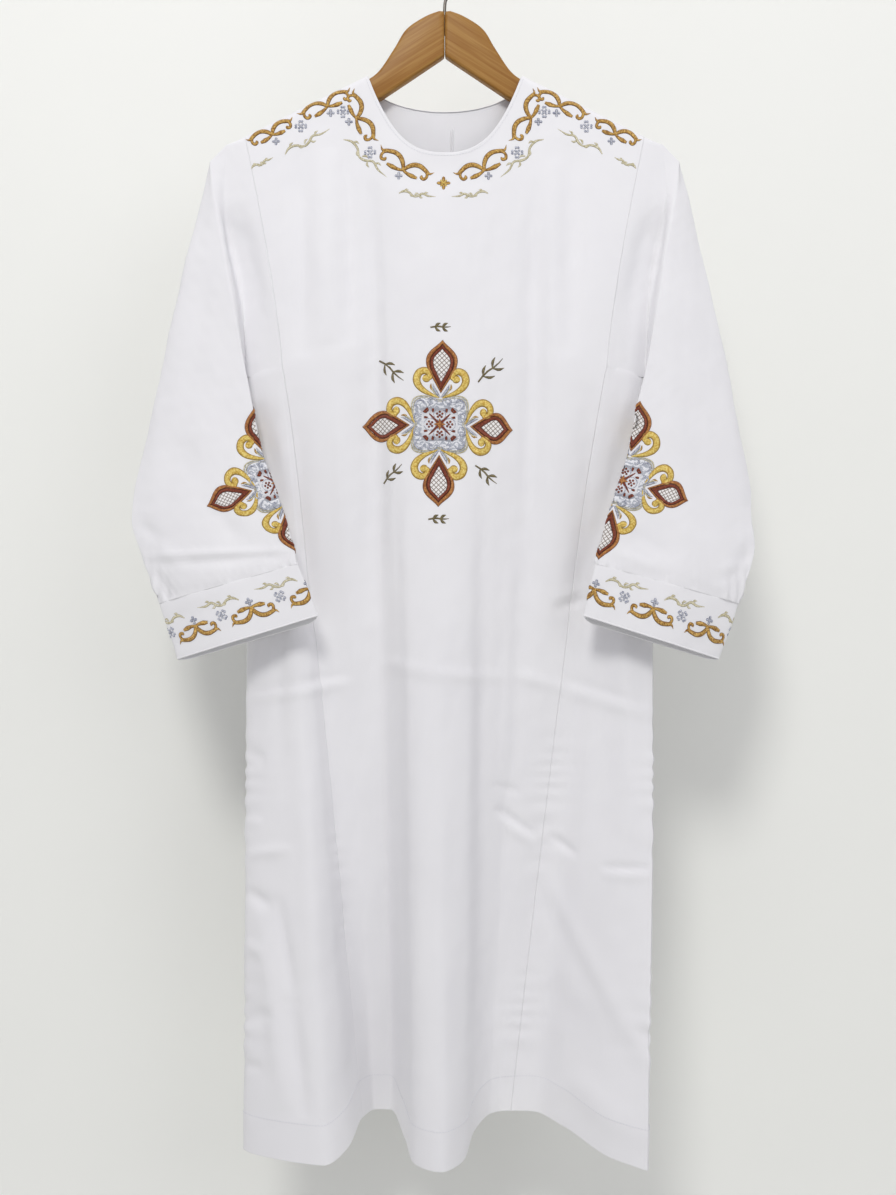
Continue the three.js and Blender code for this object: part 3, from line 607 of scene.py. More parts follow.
def panelRows(top, bottom, spacing, roll):
    # heights of one panel's rows for each of its columns, from the roll over the shoulder to the hem
    parts = []
    if roll:
        turn = np.linspace(0, math.pi / 2, panelLook["rollRows"], endpoint=False)   # rows over the shoulder
        parts.append(top[None] - body["roll"] * (1 - np.cos(turn))[:, None])
        top = top - body["roll"]
    hemTop = bottom + body["hemDepth"]
    count = int(round(float(np.mean(top - hemTop)) / spacing))
    parts.append(mix(top[None], hemTop[None] + panelLook["hemGap"], np.linspace(0, 1, count)[:, None]))
    parts.append(mix(hemTop[None], bottom[None], np.linspace(0, 1, panelLook["hemRows"])[:, None]))
    return np.concatenate(parts)


def bodyPanel(name, start, stop, topOf, spacing, roll, node):
    # rows down from the top edge at each station; a centre panel rolls over the shoulder
    s = evenStations(start, stop, spacing)
    if roll:   # columns at the high shoulder points keep the corners of the neck
        x = shoulderX(s)
        rising = 1 if x[0] < x[-1] else -1
        for corner in (-body["neckX"], body["neckX"]):
            s[np.argmin(np.abs(x - corner))] = np.interp(corner, x[::rising], s[::rising])
    z = panelRows(topOf(s), bodyBottom(s), spacing, roll)
    points, normals = bodySurface(s[None], z)
    noteCut([points], body["hemDepth"])
    top = (panelLook["edge"], panelLook["topOver"])
    if not roll:   # a gore goes on up behind the sleeve's underarm seam
        tuck = points[:1] + unit(points[:1] - points[1:2]) * panelLook["tuck"] - normals[:1]
        points, normals, top = np.concatenate([tuck, points]), np.concatenate([normals[:1], normals]), None
    hem = (panelLook["edge"], panelLook["overRows"])
    return dress(clothPiece(name, points, normals, top, hem, seamLook["allowance"]), node)


def centreTop(neck):
    # a centre panel's top edge: the neck's curve between the high shoulder points, the shoulder outside
    def topOf(s):   # the height at each station
        x = shoulderX(s)
        return np.where(np.abs(x) < body["neckX"], neckEdgeZ(x, neck), shoulderZ(x)) - 0.01
    return topOf


def goreTop(seam, side):
    # a gore's top edge: a slant from the armhole's foot to the side, just under the sleeve
    return lambda s: mix(body["underarmZ"], body["sideTopZ"], np.abs(s - seam) / abs(side - seam)) - 0.15


frontPanel = bodyPanel("frontPanel", lineAt["seamFrontLeft"], lineAt["seamFrontRight"],
                       centreTop(body["frontNeck"]), 2.9, True, "front_panel")
backPanel = bodyPanel("backPanel", lineAt["seamBackRight"], lineAt["seamBackLeft"],
                      centreTop(body["backNeck"]), 3.6, True, "back_panel")
for name, node, start, stop in (("frontGoreLeft", "front_side_left", "sideLeft", "seamFrontLeft"),
                                ("frontGoreRight", "front_side_right", "seamFrontRight", "sideRight"),
                                ("backGoreRight", "back_side_right", "sideRight", "seamBackRight"),
                                ("backGoreLeft", "back_side_left", "seamBackLeft", "sideLeft")):
    first, last = lineAt[start], lineAt[stop] or len(bodyLines)   # the left side is also the last station
    seam, side = (last, first) if "side" in start else (first, last)
    bodyPanel(name, first, last, goreTop(seam, side), 3.0, False, node)
print("body panels made")


# the sleeves
# one row each, down the left sleeve: outer edge, front fold and the hollow behind it (x, y, z each), depth
# of the hollow at the back, puff of the front, sag of the back, and the right sleeve's swing of edge and fold
sleeveRows = {
    "head": (-222.2, 0, -206.6, -220.5, -7.5, -205, -205, -7.5, -189, 7.5, 0, 6, 0, 0),
    "cap": (-227.6, -2, -235.6, -215.5, -13, -238, -208, -8, -236.4, 8, 2, 7, 2, 0),
    "upper": (-239, -4, -280.4, -207, -20, -284, -201, -4, -281, 9, 3, 8, 0, 0),
    "arm": (-251.8, -6, -334.5, -196.5, -25, -338, -191, -2, -336, 8, 5, 9, 0, 2),
    "underarm": (-266.8, -8, -404.4, -182.9, -29, -409, -188, -1, -407, -1, 7, 10, 0, 2),
    "below": (-273.4, -10, -437, -176.2, -33, -441, -189, -12, -438, -12, 7, 10, -2, 0),
    "elbow": (-281.2, -12, -475.3, -167.9, -37, -479.7, -180, -25, -479, -25, 8, 10, -2, 1),
    "forearm": (-290.2, -16, -519.6, -153, -44, -519.9, -163, -33, -520, -33, 8, 10, -4, 3),
    "crease": (-291.4, -20, -543.2, -144.6, -48, -544.8, -151, -37, -545, -37, 8, 10, -6, 3),
    "gather": (-280.8, -25, -576.9, -135.9, -51, -572.3, -139, -40, -573, -40, 9, 10, 6, 3),
    "cuffSeam": (-263.4, -30, -621.3, -132.5, -54, -584.8, -135, -43, -586, -43, 10, 11, 8, 4),
    "cuffEnd": (-245.6, -34, -671.7, -114.4, -57, -631.3, -117, -46, -634, -46, 11, 12, 7, 11),
}
rowAt = {name: k for k, name in enumerate(sleeveRows)}
sleeveColumns = np.array(list(sleeveRows.values()), float).T
ringAt = {"inner": 1, "fold": 2, "outer": 4, "innerBack": 6, "end": 7}   # places round the sleeve
rollRows = rowAt["underarm"] * body["roll"] / (body["tipZ"] - body["underarmZ"])
armholes = {-1: (lineAt["seamFrontLeft"], 0, lineAt["seamBackLeft"] - len(bodyLines)),
            1: (lineAt["seamFrontRight"], lineAt["sideRight"], lineAt["seamBackRight"])}   # front, side, back


def ringPoint(v, a, side):
    # the fold line round the sleeve at row v: hollow, fold, front, outer edge, back, hollow at the back
    v, a = np.broadcast_arrays(np.asarray(v, float), np.asarray(a, float))
    roll = np.sqrt(1 - (1 - clamp01(v / rollRows)) ** 2)
    values = [turning(column, v) for column in sleeveColumns]
    (outer, fold, inner), (innerBack, puff, sag, outerSwing, foldSwing) = (
        [np.stack(values[k:k + 3], -1) for k in (0, 3, 6)], values[9:])
    if side > 0:
        outer[..., 0] -= outerSwing
        fold[..., 0] -= foldSwing
        inner[..., 0] -= foldSwing
    hollow = inner.copy()
    hollow[..., 1] = innerBack
    front, back = (fold + outer) / 2, (hollow + outer) / 2
    front[..., 1] -= puff
    back[..., 1] += sag
    controls = np.stack([inner, fold, front, outer, back, hollow])
    controls[..., 0] *= -side
    controls[..., 1] *= roll
    return np.stack([turning(controls[..., k], a - 1) for k in range(3)], -1)


def armholeZ(v):
    # height of the armhole at row v, evenly spaced from the shoulder point to the underarm
    return mix(body["tipZ"], body["underarmZ"], v / rowAt["underarm"])


def capPoint(v, t, side, isBack):
    # from the armhole seam (t = 0) to the hollow behind the fold (t = 1); the last row follows the gore
    front, under, back = armholes[side]
    seam = back if isBack else front
    turn = ringAt["innerBack"] if isBack else ringAt["inner"]
    last = np.full_like(t, rowAt["underarm"])
    t1 = t[..., None]
    station = mix(seam, under, t)
    edge = bodyPoint(station, mix(body["underarmZ"], body["sideTopZ"], t) + 0.15)
    edge = mix(edge, ringPoint(last, turn, side), t1 ** 3)
    bow = edge - mix(bodyPoint(seam, armholeZ(last)), ringPoint(last, turn, side), t1)
    start, end = bodyPoint(seam, armholeZ(v)), ringPoint(v, turn, side)
    return mix(start, end, t1) + bow * ((v / rowAt["underarm"]) ** 2)[..., None]


def sleevePoint(v, a, side):
    # a from 0 to 1 and 6 to 7 is the cap between armhole and hollow, 1 to 6 is the ring
    v, a = np.broadcast_arrays(np.asarray(v, float), np.asarray(a, float))
    point = ringPoint(v, np.clip(a, 1, 6), side)
    for isBack, inCap in ((False, a < 1), (True, a > 6)):
        if inCap.any():
            t = ringAt["end"] - a[inCap] if isBack else a[inCap]
            point[inCap] = capPoint(v[inCap], t, side, isBack)
    return point


def sleeveNormal(v, a, side, low, high):
    # the cross product of a small step round and a small step down, both kept within the sleeve's part
    last = np.where(v <= rowAt["underarm"], rowAt["underarm"], len(sleeveRows) - 1)
    step, back = probe["station"], probe["rowBack"]
    after, before = np.minimum(high, a + step), np.maximum(low, a - step)
    around = sleevePoint(v, after, side) - sleevePoint(v, before, side)
    down = sleevePoint(np.minimum(last, v + step), a, side) - sleevePoint(np.maximum(0, v - back), a, side)
    return unit(np.cross(around, down) * -side)


# creases on the front of each sleeve: x0, z0, x1, z1, half width, depth
sleeveCreases = {
    -1: [(-284, -578, -136, -572, 3.5, 1.5), (-284, -585, -136, -579, 5, -1.3),
         (-288, -545, -262, -562, 7, -1.4), (-268, -589, -251, -618, 6, -1.6),
         (-262, -566, -240, -590, 7, 1.2), (-236, -240, -250, -360, 12, 1.0),
         (-240, -470, -215, -545, 12, -1.0), (-210, -536, -186, -566, 9, -1.4),
         (-196, -470, -178, -560, 9, 1.0), (-262, -430, -276, -540, 12, 1.4),
         (-225, -300, -236, -460, 14, -1.2), (-190, -585, -160, -580, 6, 1.0)],
    1: [(288, -566, 266, -596, 7, -1.8), (284, -584, 250, -590, 5, 1.2), (170, -556, 214, -582, 8, -1.4),
        (186, -520, 236, -570, 10, 1.0), (236, -250, 252, -390, 12, -1.2), (262, -420, 280, -530, 11, 1.3),
        (226, -420, 244, -560, 14, -1.2), (206, -300, 214, -470, 10, 1.0), (252, -600, 262, -622, 5, 1.4),
        (150, -572, 196, -590, 5, 1.0)],
}
sleeveFolds = {   # how strong, and the stretch round the sleeve as two places and how softly each ends
    "front": 1.4, "frontStretch": (1.9, 4.1, 0.5, 0.4), "back": 1.2, "backStretch": (3.9, 6.1, 0.5, 0.5),
    "backLower": 9.0}
hollowLook = {   # deeper behind the fold, below the hanger's tips
    "depth": 4.0, "stretch": (0.0, 1.75, 0.7, 0.6), "rows": (1.1, 3.5, 0.9, 1.2)}
gatherLook = {"wave": 8.0, "height": 2.1, "reach": 20.0, "rowLength": 42.0}


def sleeveRelief(v, a, side, point, below):
    # creases on the front and, mirrored from the other sleeve, on the back; the hollow's extra depth; a
    # faint unevenness; and above the cuff waves round the sleeve that die away up it
    x, z = point[..., 0], point[..., 2]
    front = window(a, *sleeveFolds["frontStretch"])
    relief = sleeveFolds["front"] * front * creases(x, z, sleeveCreases[side])
    behind, lower = window(a, *sleeveFolds["backStretch"]), sleeveFolds["backLower"]
    mirrored = [(-x0, z0 - lower, -x1, z1 - lower, *rest) for x0, z0, x1, z1, *rest in sleeveCreases[-side]]
    relief += sleeveFolds["back"] * behind * creases(x, z, mirrored)
    relief -= hollowLook["depth"] * window(a, *hollowLook["stretch"]) * window(v, *hollowLook["rows"])
    relief += 0.4 * ripple(x, z * 0.5 + point[..., 1], 11 + side, 40) + 0.15 * ripple(x, z, 15 + side, 15)
    if below:
        fade = np.exp(-np.maximum(0, (rowAt["cuffSeam"] - v)) * gatherLook["rowLength"] / gatherLook["reach"])
        wave = np.sin(x * math.tau / gatherLook["wave"] + 1.3 * np.sin(x / 17.0) + np.sign(a - 4))
        relief += gatherLook["height"] * wave * fade * smooth((rowAt["cuffSeam"] - v) / 0.08)
    return relief * smooth(v / 0.35) * window(a, 0, ringAt["end"], 0.6, 0.6)


def sleeveSurface(v, a, side):
    # the finished sleeve or cuff: its place, moved along the direction it faces by its relief
    v, a = np.broadcast_arrays(np.asarray(v, float), np.asarray(a, float))
    low, high = (0, 7) if v.min() < rowAt["underarm"] - 0.01 else (1, 6)
    point, normal = sleevePoint(v, a, side), sleeveNormal(v, a, side, low, high)
    inCuff = v.min() >= rowAt["cuffSeam"]
    relief = (0.25 * ripple(point[..., 0], point[..., 2], 21 + side, 30) if inCuff
              else sleeveRelief(v, a, side, point, v.max() > rowAt["underarm"] + 0.01))
    return point + normal * relief[..., None], normal


def cuffSurface(v, a, side):
    # the cuff as finished: its back edge hangs a little lower than its front one
    point, normal = sleeveSurface(v, a, side)
    fall = smooth((v - rowAt["cuffSeam"] - 0.2) / 0.8)
    point[..., 2] -= sleeveLook["backFall"] * fall * window(a, 3.9, 6.02, 0.5, 0.3)
    return point, normal


sleeveLook = {"cap": 16, "ring": 96, "upperRows": 74, "lowerRows": 72, "cuffRows": 20, "cuffHem": 12,
              "cuffEdge": 0.6, "backFall": 3.0, "seamRow": 0.025, "lowerCut": 400.0}
ringPlaces = np.interp(np.linspace(0, 1, sleeveLook["ring"] + 1),
                       [0, 0.04, 0.05, 0.27, 0.46, 0.5, 0.54, 0.75, 0.96, 1],
                       [1, 1.85, 2.06, 3, 3.85, 4, 4.15, 5, 5.85, 6])


def sleevePiece(side, name, node):
    # the upper part runs round the cap and the ring, the lower part round the ring alone
    capPlaces = np.linspace(0, 1, sleeveLook["cap"] + 1)
    capPlaces = np.insert(capPlaces, 1, capPlaces[1] * 0.3)
    places = np.concatenate([capPlaces[:-1], ringPlaces, ringAt["end"] - capPlaces[::-1][1:]])
    turn = np.linspace(0, math.pi / 2, panelLook["rollRows"], endpoint=False)
    upperLevels = np.concatenate([rollRows * (1 - np.cos(turn)),
                                  np.linspace(rollRows, rowAt["underarm"], sleeveLook["upperRows"])])
    upper, upperFace = sleeveSurface(upperLevels[:, None], places[None], side)
    lowerLevels = np.linspace(rowAt["underarm"], rowAt["cuffSeam"], sleeveLook["lowerRows"])
    lowerLevels = np.insert(lowerLevels, -1, rowAt["cuffSeam"] - sleeveLook["seamRow"])
    lower, lowerFace = sleeveSurface(lowerLevels[:, None], ringPlaces[None], side)
    lower[0] = upper[-1, len(capPlaces) - 1:len(capPlaces) + sleeveLook["ring"]]
    noteCut([upper, lower], cutLook["allowance"])
    # the cuff seam's allowance goes in under the cuff, and the armhole's in under the sleeve
    turnIn = seamLook["allowance"]
    lower = np.concatenate([lower, (lower[-1] - turnIn * lowerFace[-1])[None]])
    upper = np.concatenate([(upper[:, 0] - turnIn * upperFace[:, 1])[:, None], upper,
                            (upper[:, -1] - turnIn * upperFace[:, -2])[:, None]], axis=1)
    quads, points, cut, start = [], [], [], 0
    for grid, top in ((upper, 0.0), (lower, sleeveLook["lowerCut"])):
        order = grid if side > 0 else grid[:, ::-1]
        down = np.linalg.norm(np.diff(order, axis=0), axis=-1).mean(axis=1)
        across = np.linalg.norm(np.diff(order, axis=1), axis=-1).mean(axis=0)
        v = top + np.concatenate([[0], np.cumsum(down)])
        u = np.concatenate([[0], np.cumsum(across)])
        cut.append(np.stack(np.meshgrid(u, v), -1).reshape(-1, 2))
        quads.append(gridQuads(*grid.shape[:2], start=start))
        points.append(order.reshape(-1, 3))
        start += grid.shape[0] * grid.shape[1]
    item = meshObject(name, *map(np.concatenate, (points, quads, cut)), None, clothMaterial)
    return dress(item, node)


def cuffPiece(side, name, node):
    # a band round the ring from the cuff seam to the cuff's end, turned in at both edges
    levels = np.linspace(rowAt["cuffSeam"], rowAt["cuffEnd"], sleeveLook["cuffRows"])
    points, normals = cuffSurface(levels[:, None], ringPlaces[None], side)
    noteCut([points], cutLook["cuffHem"])
    if side < 0:
        points, normals = points[:, ::-1], normals[:, ::-1]
    top, hem = (panelLook["edge"], panelLook["topOver"]), (sleeveLook["cuffEdge"], sleeveLook["cuffHem"])
    return dress(clothPiece(name, points, normals, top, hem), node)


bothSides = {-1: "Left", 1: "Right"}
sleeves = {side: sleevePiece(side, "sleeve" + word, "sleeve_" + word.lower())
           for side, word in bothSides.items()}
cuffs = {side: cuffPiece(side, "cuff" + word, "cuff_" + word.lower()) for side, word in bothSides.items()}
print("sleeves and cuffs made")


# charts: flat coordinates in millimetres laid on the finished cloth
def solveRising(low, high, wanted, measure, steps=24):
    # bisection for every point at once: where measure, which rises from low to high, meets wanted
    low, high = np.broadcast_to(low, wanted.shape).copy(), np.broadcast_to(high, wanted.shape).copy()
    for _ in range(steps):
        middle = (low + high) / 2
        above = measure(middle) > wanted
        high, low = np.where(above, middle, high), np.where(above, low, middle)
    return (low + high) / 2


def panelChart(start, stop, way):
    # a centre panel as it is seen from the front: finds the station that lies as far across as is asked
    def chart(x, z):
        z = np.minimum(z, shoulderZ(x) - 0.3)
        s = solveRising(lineAt[start], lineAt[stop], way * x, lambda at: way * bodyPoint(at, z)[..., 0])
        return bodySurface(s, z)
    return chart


frontChart = panelChart("seamFrontLeft", "seamFrontRight", 1)
backChart = panelChart("seamBackRight", "seamBackLeft", -1)


class RingChart:
    # a sleeve or cuff unrolled: across is the length round it from the fold, towards the outer edge, and
    # down is the length along the fold from the first row
    def __init__(self, side, firstRow, lastRow, surface):
        self.side, self.surface = side, surface
        self.rows = np.linspace(firstRow, lastRow, 90)
        self.turns = np.linspace(-1.9, 4.9, 260)
        points, _ = surface(self.rows[:, None], self.place(self.turns)[None], side)
        across = np.concatenate([np.zeros((len(self.rows), 1)),
                                 np.cumsum(np.linalg.norm(np.diff(points, axis=1), axis=-1), axis=1)], axis=1)
        fold = int(np.argmin(np.abs(self.turns - ringAt["fold"])))
        self.across = across - across[:, fold:fold + 1]
        self.down = arcLength(points[:, fold])

    def place(self, turn):
        # places below the hollow carry on along the back, from its far end
        return np.where(turn < 1, turn + 5, turn)

    def lengthAt(self, row, turn):
        # the table of lengths between its rows and columns: straight in both directions
        i = np.clip((row - self.rows[0]) / (self.rows[1] - self.rows[0]), 0, len(self.rows) - 1.001)
        j = np.clip((turn - self.turns[0]) / (self.turns[1] - self.turns[0]), 0, len(self.turns) - 1.001)
        i0, j0 = i.astype(int), j.astype(int)
        table = self.across
        return mix(mix(table[i0, j0], table[i0, j0 + 1], j - j0),
                   mix(table[i0 + 1, j0], table[i0 + 1, j0 + 1], j - j0), i - i0)

    def __call__(self, across, down):
        # the row comes from the length down the fold, the turn from the length round it
        row = np.interp(down, self.down, self.rows)
        turn = solveRising(self.turns[0], self.turns[-1], across, lambda at: self.lengthAt(row, at))
        return self.surface(row, self.place(turn), self.side)


def turned(chart, centre, angle):
    # the chart with its origin moved and turned, y up
    c, s = math.cos(math.radians(angle)), math.sin(math.radians(angle))
    return lambda x, y: chart(centre[0] + c * x + s * y, centre[1] - s * x + c * y)


# thread
def colour(red, green, blue):
    # display values 0 to 255 to scene-linear
    return tuple((np.array([red, green, blue]) / 255) ** 2.2)


def threadMaterial(name, dark, middle, light, metallic=0.15, pitch=0.6):
    # satin stitch: thread ridges across the stroke, with patches of painted glint; brighter along its crown,
    # dark at its rim, which stands for the outline and for painted shade where the stroke dips into the cloth
    s = Shader(name)
    along, across, _ = s.separate(s.coordinates("UV"))
    rim = s.node("ShaderNodeAttribute", {"attribute_name": "shade"}, output=2)
    ridge = ((along + across * 0.35) * (math.tau / pitch)).sine()
    # painted glint: random patches that lift the colour to the light tone
    glint = s.noise(s.coordinates(), 620.0, 2.0, 0.7)
    glint = s.node("ShaderNodeValToRGB", {"stops": [(0.36, (0, 0, 0)), (0.66, (1, 1, 1))]}, {0: glint})
    tone = s.blend(glint, colour(*middle), colour(*light))
    # outline and painted shade: towards the rim the colour falls to the dark tone
    edge = s.spread(rim, 0.5, 0.95, 0.95)
    s.set(BaseColor=s.blend(edge, tone, colour(*dark)), Roughness=0.42, Metallic=metallic,
          SheenWeight=0.1, Normal=s.bump(ridge, 0.5, 0.00025))
    return s.material


def latticeMaterial():
    # white thread crossed on the bias by grey lines
    s = Shader("latticeThread")
    along, across, _ = s.separate(s.coordinates("UV"))
    cell = math.pi / 4.4
    first = ((along + across) * cell).sine().absolute()
    second = ((along - across) * cell).sine().absolute()
    line = first.maths("MINIMUM", second)
    mask = s.spread(line, 0.16, 0.44)
    s.set(BaseColor=s.blend(mask, colour(120, 104, 92), colour(238, 235, 232)), Roughness=0.6,
          Normal=s.bump(mask, 0.6, 0.0003))
    return s.material


def silverGroundMaterial():
    # close scrolling of white and blue-grey thread
    s = Shader("silverGround")
    place = s.coordinates()
    waves = {"Vector": place, "Scale": 55.0, "Distortion": 14.0, "Detail": 2.0, "Detail Scale": 3.0}
    swirl = s.node("ShaderNodeTexWave", {"wave_type": "RINGS", "bands_direction": "X"}, waves)
    grain = s.noise(place, 800.0, 2.0, 0.7)
    tone = s.blend(swirl, colour(158, 163, 173), colour(244, 244, 246))
    s.set(BaseColor=s.blend(grain * 0.45, tone, colour(168, 173, 184)), Roughness=0.5, Metallic=0.1,
          Normal=s.bump(swirl + grain, 0.5, 0.0003))
    return s.material


threadTones = {   # dark (rim: outline and painted shade), middle, light (painted glint), metallic
    "bronze": ((78, 46, 14), (146, 98, 36), (232, 190, 104), 0.25),
    "yellow": ((134, 98, 30), (206, 162, 56), (250, 228, 136), 0.2),
    "copper": ((84, 42, 18), (146, 84, 38), (204, 142, 78)),
    "garnet": ((62, 22, 14), (108, 42, 24), (150, 76, 46)),
    "silver": ((74, 78, 98), (146, 151, 170), (226, 228, 236), 0.25),
    "paleGold": ((128, 118, 78), (190, 180, 138), (236, 230, 204)),
    "white": ((150, 152, 162), (226, 227, 232), (246, 246, 248), 0.0),
    "olive": ((54, 46, 28), (96, 84, 52), (138, 126, 88), 0.0),
}
threads = {name: threadMaterial(name + "Thread", *tones) for name, tones in threadTones.items()}
threads.update(lattice=latticeMaterial(), ground=silverGroundMaterial())


def spline(points, count):
    # Catmull-Rom curve through the points
    points = np.asarray(points, float)
    padded = np.concatenate([[2 * points[0] - points[1]], points, [2 * points[-1] - points[-2]]])
    s = np.linspace(0, len(points) - 1, count)
    k = np.minimum(s.astype(int), len(points) - 2)
    t = (s - k)[:, None]
    a, b, c, d = (padded[k + i] for i in range(4))
    return b + 0.5 * t * (c - a + t * (2 * a - 5 * b + 4 * c - d + t * (3 * (b - c) + d - a)))


strokeLook = {"spacing": 1.1, "columns": 7, "bedding": 0.12, "fullHalf": 1.2}
strokeColumns = np.sin(np.linspace(-math.pi / 2, math.pi / 2, strokeLook["columns"]))   # closer at the rims


def stroke(thread, points, halves, lift=0.0, height=0.75, count=None):
    # a tapering satin stroke: points of its middle line and its half width at each
    length = np.linalg.norm(np.diff(points, axis=0), axis=-1).sum()
    count = count or max(6, int(length / strokeLook["spacing"]))
    path = spline(points, count)
    half = np.interp(np.linspace(0, 1, count), np.linspace(0, 1, len(halves)), halves)[:, None]
    tangent = unit(np.gradient(path, axis=0))
    aside = np.stack([-tangent[:, 1], tangent[:, 0]], -1) * half
    return thread, path + aside, path - aside, lift, height


def moved(strokes, matrix, offset):
    # strokes carried by a 2 by 2 matrix and an offset in the chart
    matrix = np.asarray(matrix, float)
    return [(thread, left @ matrix.T + offset, right @ matrix.T + offset, lift, height)
            for thread, left, right, lift, height in strokes]


def embroider(name, strokes, chart, node):
    # lays every stroke on the cloth through the chart: height over the cloth is a half ellipse across it,
    # lower where the stroke is thin, with its rims bedded in
    points, quads, uvs, shades, kinds, start = [], [], [], [], [], 0
    for thread, left, right, lift, height in strokes:
        c = strokeColumns[None, :, None]
        points.append((left[:, None] * (1 - c) + right[:, None] * (1 + c)) / 2)
        half = np.linalg.norm(right - left, axis=-1)[:, None] / 2
        along = arcLength((left + right) / 2)[:, None]
        dome = np.sqrt(1 - np.minimum(1, strokeColumns ** 2))[None]
        full = np.minimum(1, half / strokeLook["fullHalf"])
        rise = lift + height * dome * full - strokeLook["bedding"] * (1 - dome)
        uvs.append(np.stack([along + 0 * dome, half * strokeColumns[None]], -1).reshape(-1, 2))
        shades.append(np.stack([np.broadcast_to(np.abs(strokeColumns), rise.shape), rise], -1).reshape(-1, 2))
        quads.append(gridQuads(len(left), len(strokeColumns), start=start))
        kinds.append(np.full(len(quads[-1]), list(threads).index(thread)))
        start += len(left) * len(strokeColumns)
    flat = np.concatenate([p.reshape(-1, 2) for p in points])
    shades = np.concatenate(shades)
    cloth, normal = chart(flat[:, 0], flat[:, 1])
    raised = cloth + normal * shades[:, 1:]
    quads = np.concatenate(quads)
    corners = raised[quads]
    facing = np.cross(corners[:, 2] - corners[:, 0], corners[:, 3] - corners[:, 1])
    inward = np.einsum("ij,ij->i", facing, normal[quads[:, 0]]) < 0
    quads[inward] = quads[inward][:, ::-1]
    item = meshObject(name, raised, quads, np.concatenate(uvs), shades[:, 0])
    for material in threads.values():
        item.data.materials.append(material)
    item.data.polygons.foreach_set("material_index", np.concatenate(kinds).astype(np.int32))
    return dress(item, node)


# motifs, each a list of strokes about its own origin
wingHalf = 2.4   # a wing's widest half width
wingStrokes = [   # points along the wing, half widths, height, count
    ([(0, 0), (0.16, 0.13), (0.36, 0.2), (0.56, 0.165), (0.74, 0.03), (0.86, -0.05), (1, 0.01)],
     [0.6, 0.9, 1, 1, 0.85, 0.5, 0.08], 0.9, 30),
    ([(0.7, 0.06), (0.775, -0.06), (0.76, -0.18), (0.68, -0.24), (0.6, -0.19), (0.62, -0.12)],
     [0.7, 0.6, 0.6, 0.7, 0.7, 0.35], 0.7, 20),
    ([(0, 0), (0.14, -0.1), (0.3, -0.17), (0.46, -0.225)], [0.5, 0.7, 1.0, 0.55], 0.8, 16),
]


def wing(junction, tip, side):
    # half of a scroll: a crescent from the junction to the tip, bowed to one side, with a curled hook and a
    # rounded leaf on the other
    along = np.subtract(tip, junction)
    matrix = np.stack([along, np.array([-along[1], along[0]]) * side], -1)
    thick = wingHalf / np.linalg.norm(along)
    parts = [stroke("bronze", points, np.array(halves) * thick, 0.0, height, count)
             for points, halves, height, count in wingStrokes]
    return moved(parts, matrix, np.asarray(junction, float))


def scrollUnit(first, junction, second, bud):
    # two wings and a silver bud; the wings bow away from the bud
    strokes = []
    for tip in (first, second):
        along, away = np.subtract(tip, junction), np.subtract(junction, bud)
        side = 1 if along[0] * away[1] - along[1] * away[0] > 0 else -1
        strokes += wing(junction, tip, side)
    return strokes + smallFlower(bud, 3.9, 4, 0.0, "silver", 1.5)


def smallFlower(centre, reach, petals, turn, thread, half):
    # pointed petals at even angles
    strokes = []
    for k in range(petals):
        angle = math.radians(turn) + math.tau * k / petals
        way = np.array([math.sin(angle), math.cos(angle)])
        strokes.append(stroke(thread, [centre + way * reach * f for f in (0.12, 0.45, 0.8, 1.0)],
                              [half * 0.45, half * 0.9, half * 0.85, 0.15], height=0.7, count=8))
    return strokes


def dot(thread, centre, radius, lift=0.0):
    # a stroke as long as it is wide, its half width a half circle
    turn = np.linspace(-1, 1, 8)
    return stroke(thread, [np.asarray(centre, float) + (x * radius, 0) for x in turn],
                  radius * np.sqrt(np.maximum(0.02, 1 - turn ** 2)), lift, 0.6, count=8)


def squareFlower(centre, reach, turn):
    # four pairs of small silver beads round a cross
    strokes = smallFlower(np.asarray(centre, float), reach * 0.8, 4, turn, "silver", reach * 0.26)
    for k in range(8):
        angle = math.radians(turn + 45 + (13 if k % 2 else -13)) + math.tau * (k // 2) / 4
        bead = np.add(centre, (math.sin(angle) * reach, math.cos(angle) * reach))
        strokes.append(dot("silver", bead, reach * 0.28))
    return strokes


vineHalf = 1.25
vineStem = [(0, -0.03), (0.12, 0.045), (0.27, 0.035), (0.4, -0.045), (0.52, -0.02), (0.64, 0.06),
            (0.8, 0.02), (1, 0.04)]
vineLeaves = ((0.14, 0.05, 1), (0.3, 0.01, -1), (0.43, -0.01, 1), (0.56, 0.0, -1), (0.68, 0.05, 1))


def vine(start, end):
    # a light sprig: a wavering stem with small leaves on either side
    start, end = np.asarray(start, float), np.asarray(end, float)
    along = end - start
    matrix = np.stack([along, np.array([-along[1], along[0]])], -1)
    thick = vineHalf / np.linalg.norm(along)
    halves = np.array([0.4, 1.0, 0.9, 0.8, 1.0, 0.9, 0.8, 0.15]) * thick
    parts = [stroke("paleGold", vineStem, halves, height=0.5, count=40)]
    for x, y, way in vineLeaves:
        parts.append(stroke("paleGold", [(x, y), (x + 0.04, y + 0.05 * way), (x + 0.1, y + 0.055 * way)],
                            np.array([0.5, 0.9, 0.2]) * thick, height=0.5, count=8))
    return moved(parts, matrix, start)


# the medallion: an equal-armed cross of pointed petals, paired scrolls and a lobed square
petalWidths = [(0, 0), (0.22, 0.45), (0.42, 0.86), (0.5, 0.97), (0.6, 1.03), (0.7, 0.97), (0.79, 0.76),
               (0.87, 0.45), (0.94, 0.17), (0.975, 0.07), (1, 0)]   # along from the base, half width
scrollPath = [(1.6, 24.5), (7.5, 26.8), (14.8, 30.2), (20.4, 35), (22.8, 41), (20.8, 47), (16, 49.4),
              (11.6, 47.6), (10.4, 43.8), (12.6, 41.6)]
scrollHalves = [0.5, 1.5, 2.5, 3.3, 3.7, 3.7, 3.5, 3.1, 2.8, 1.8]


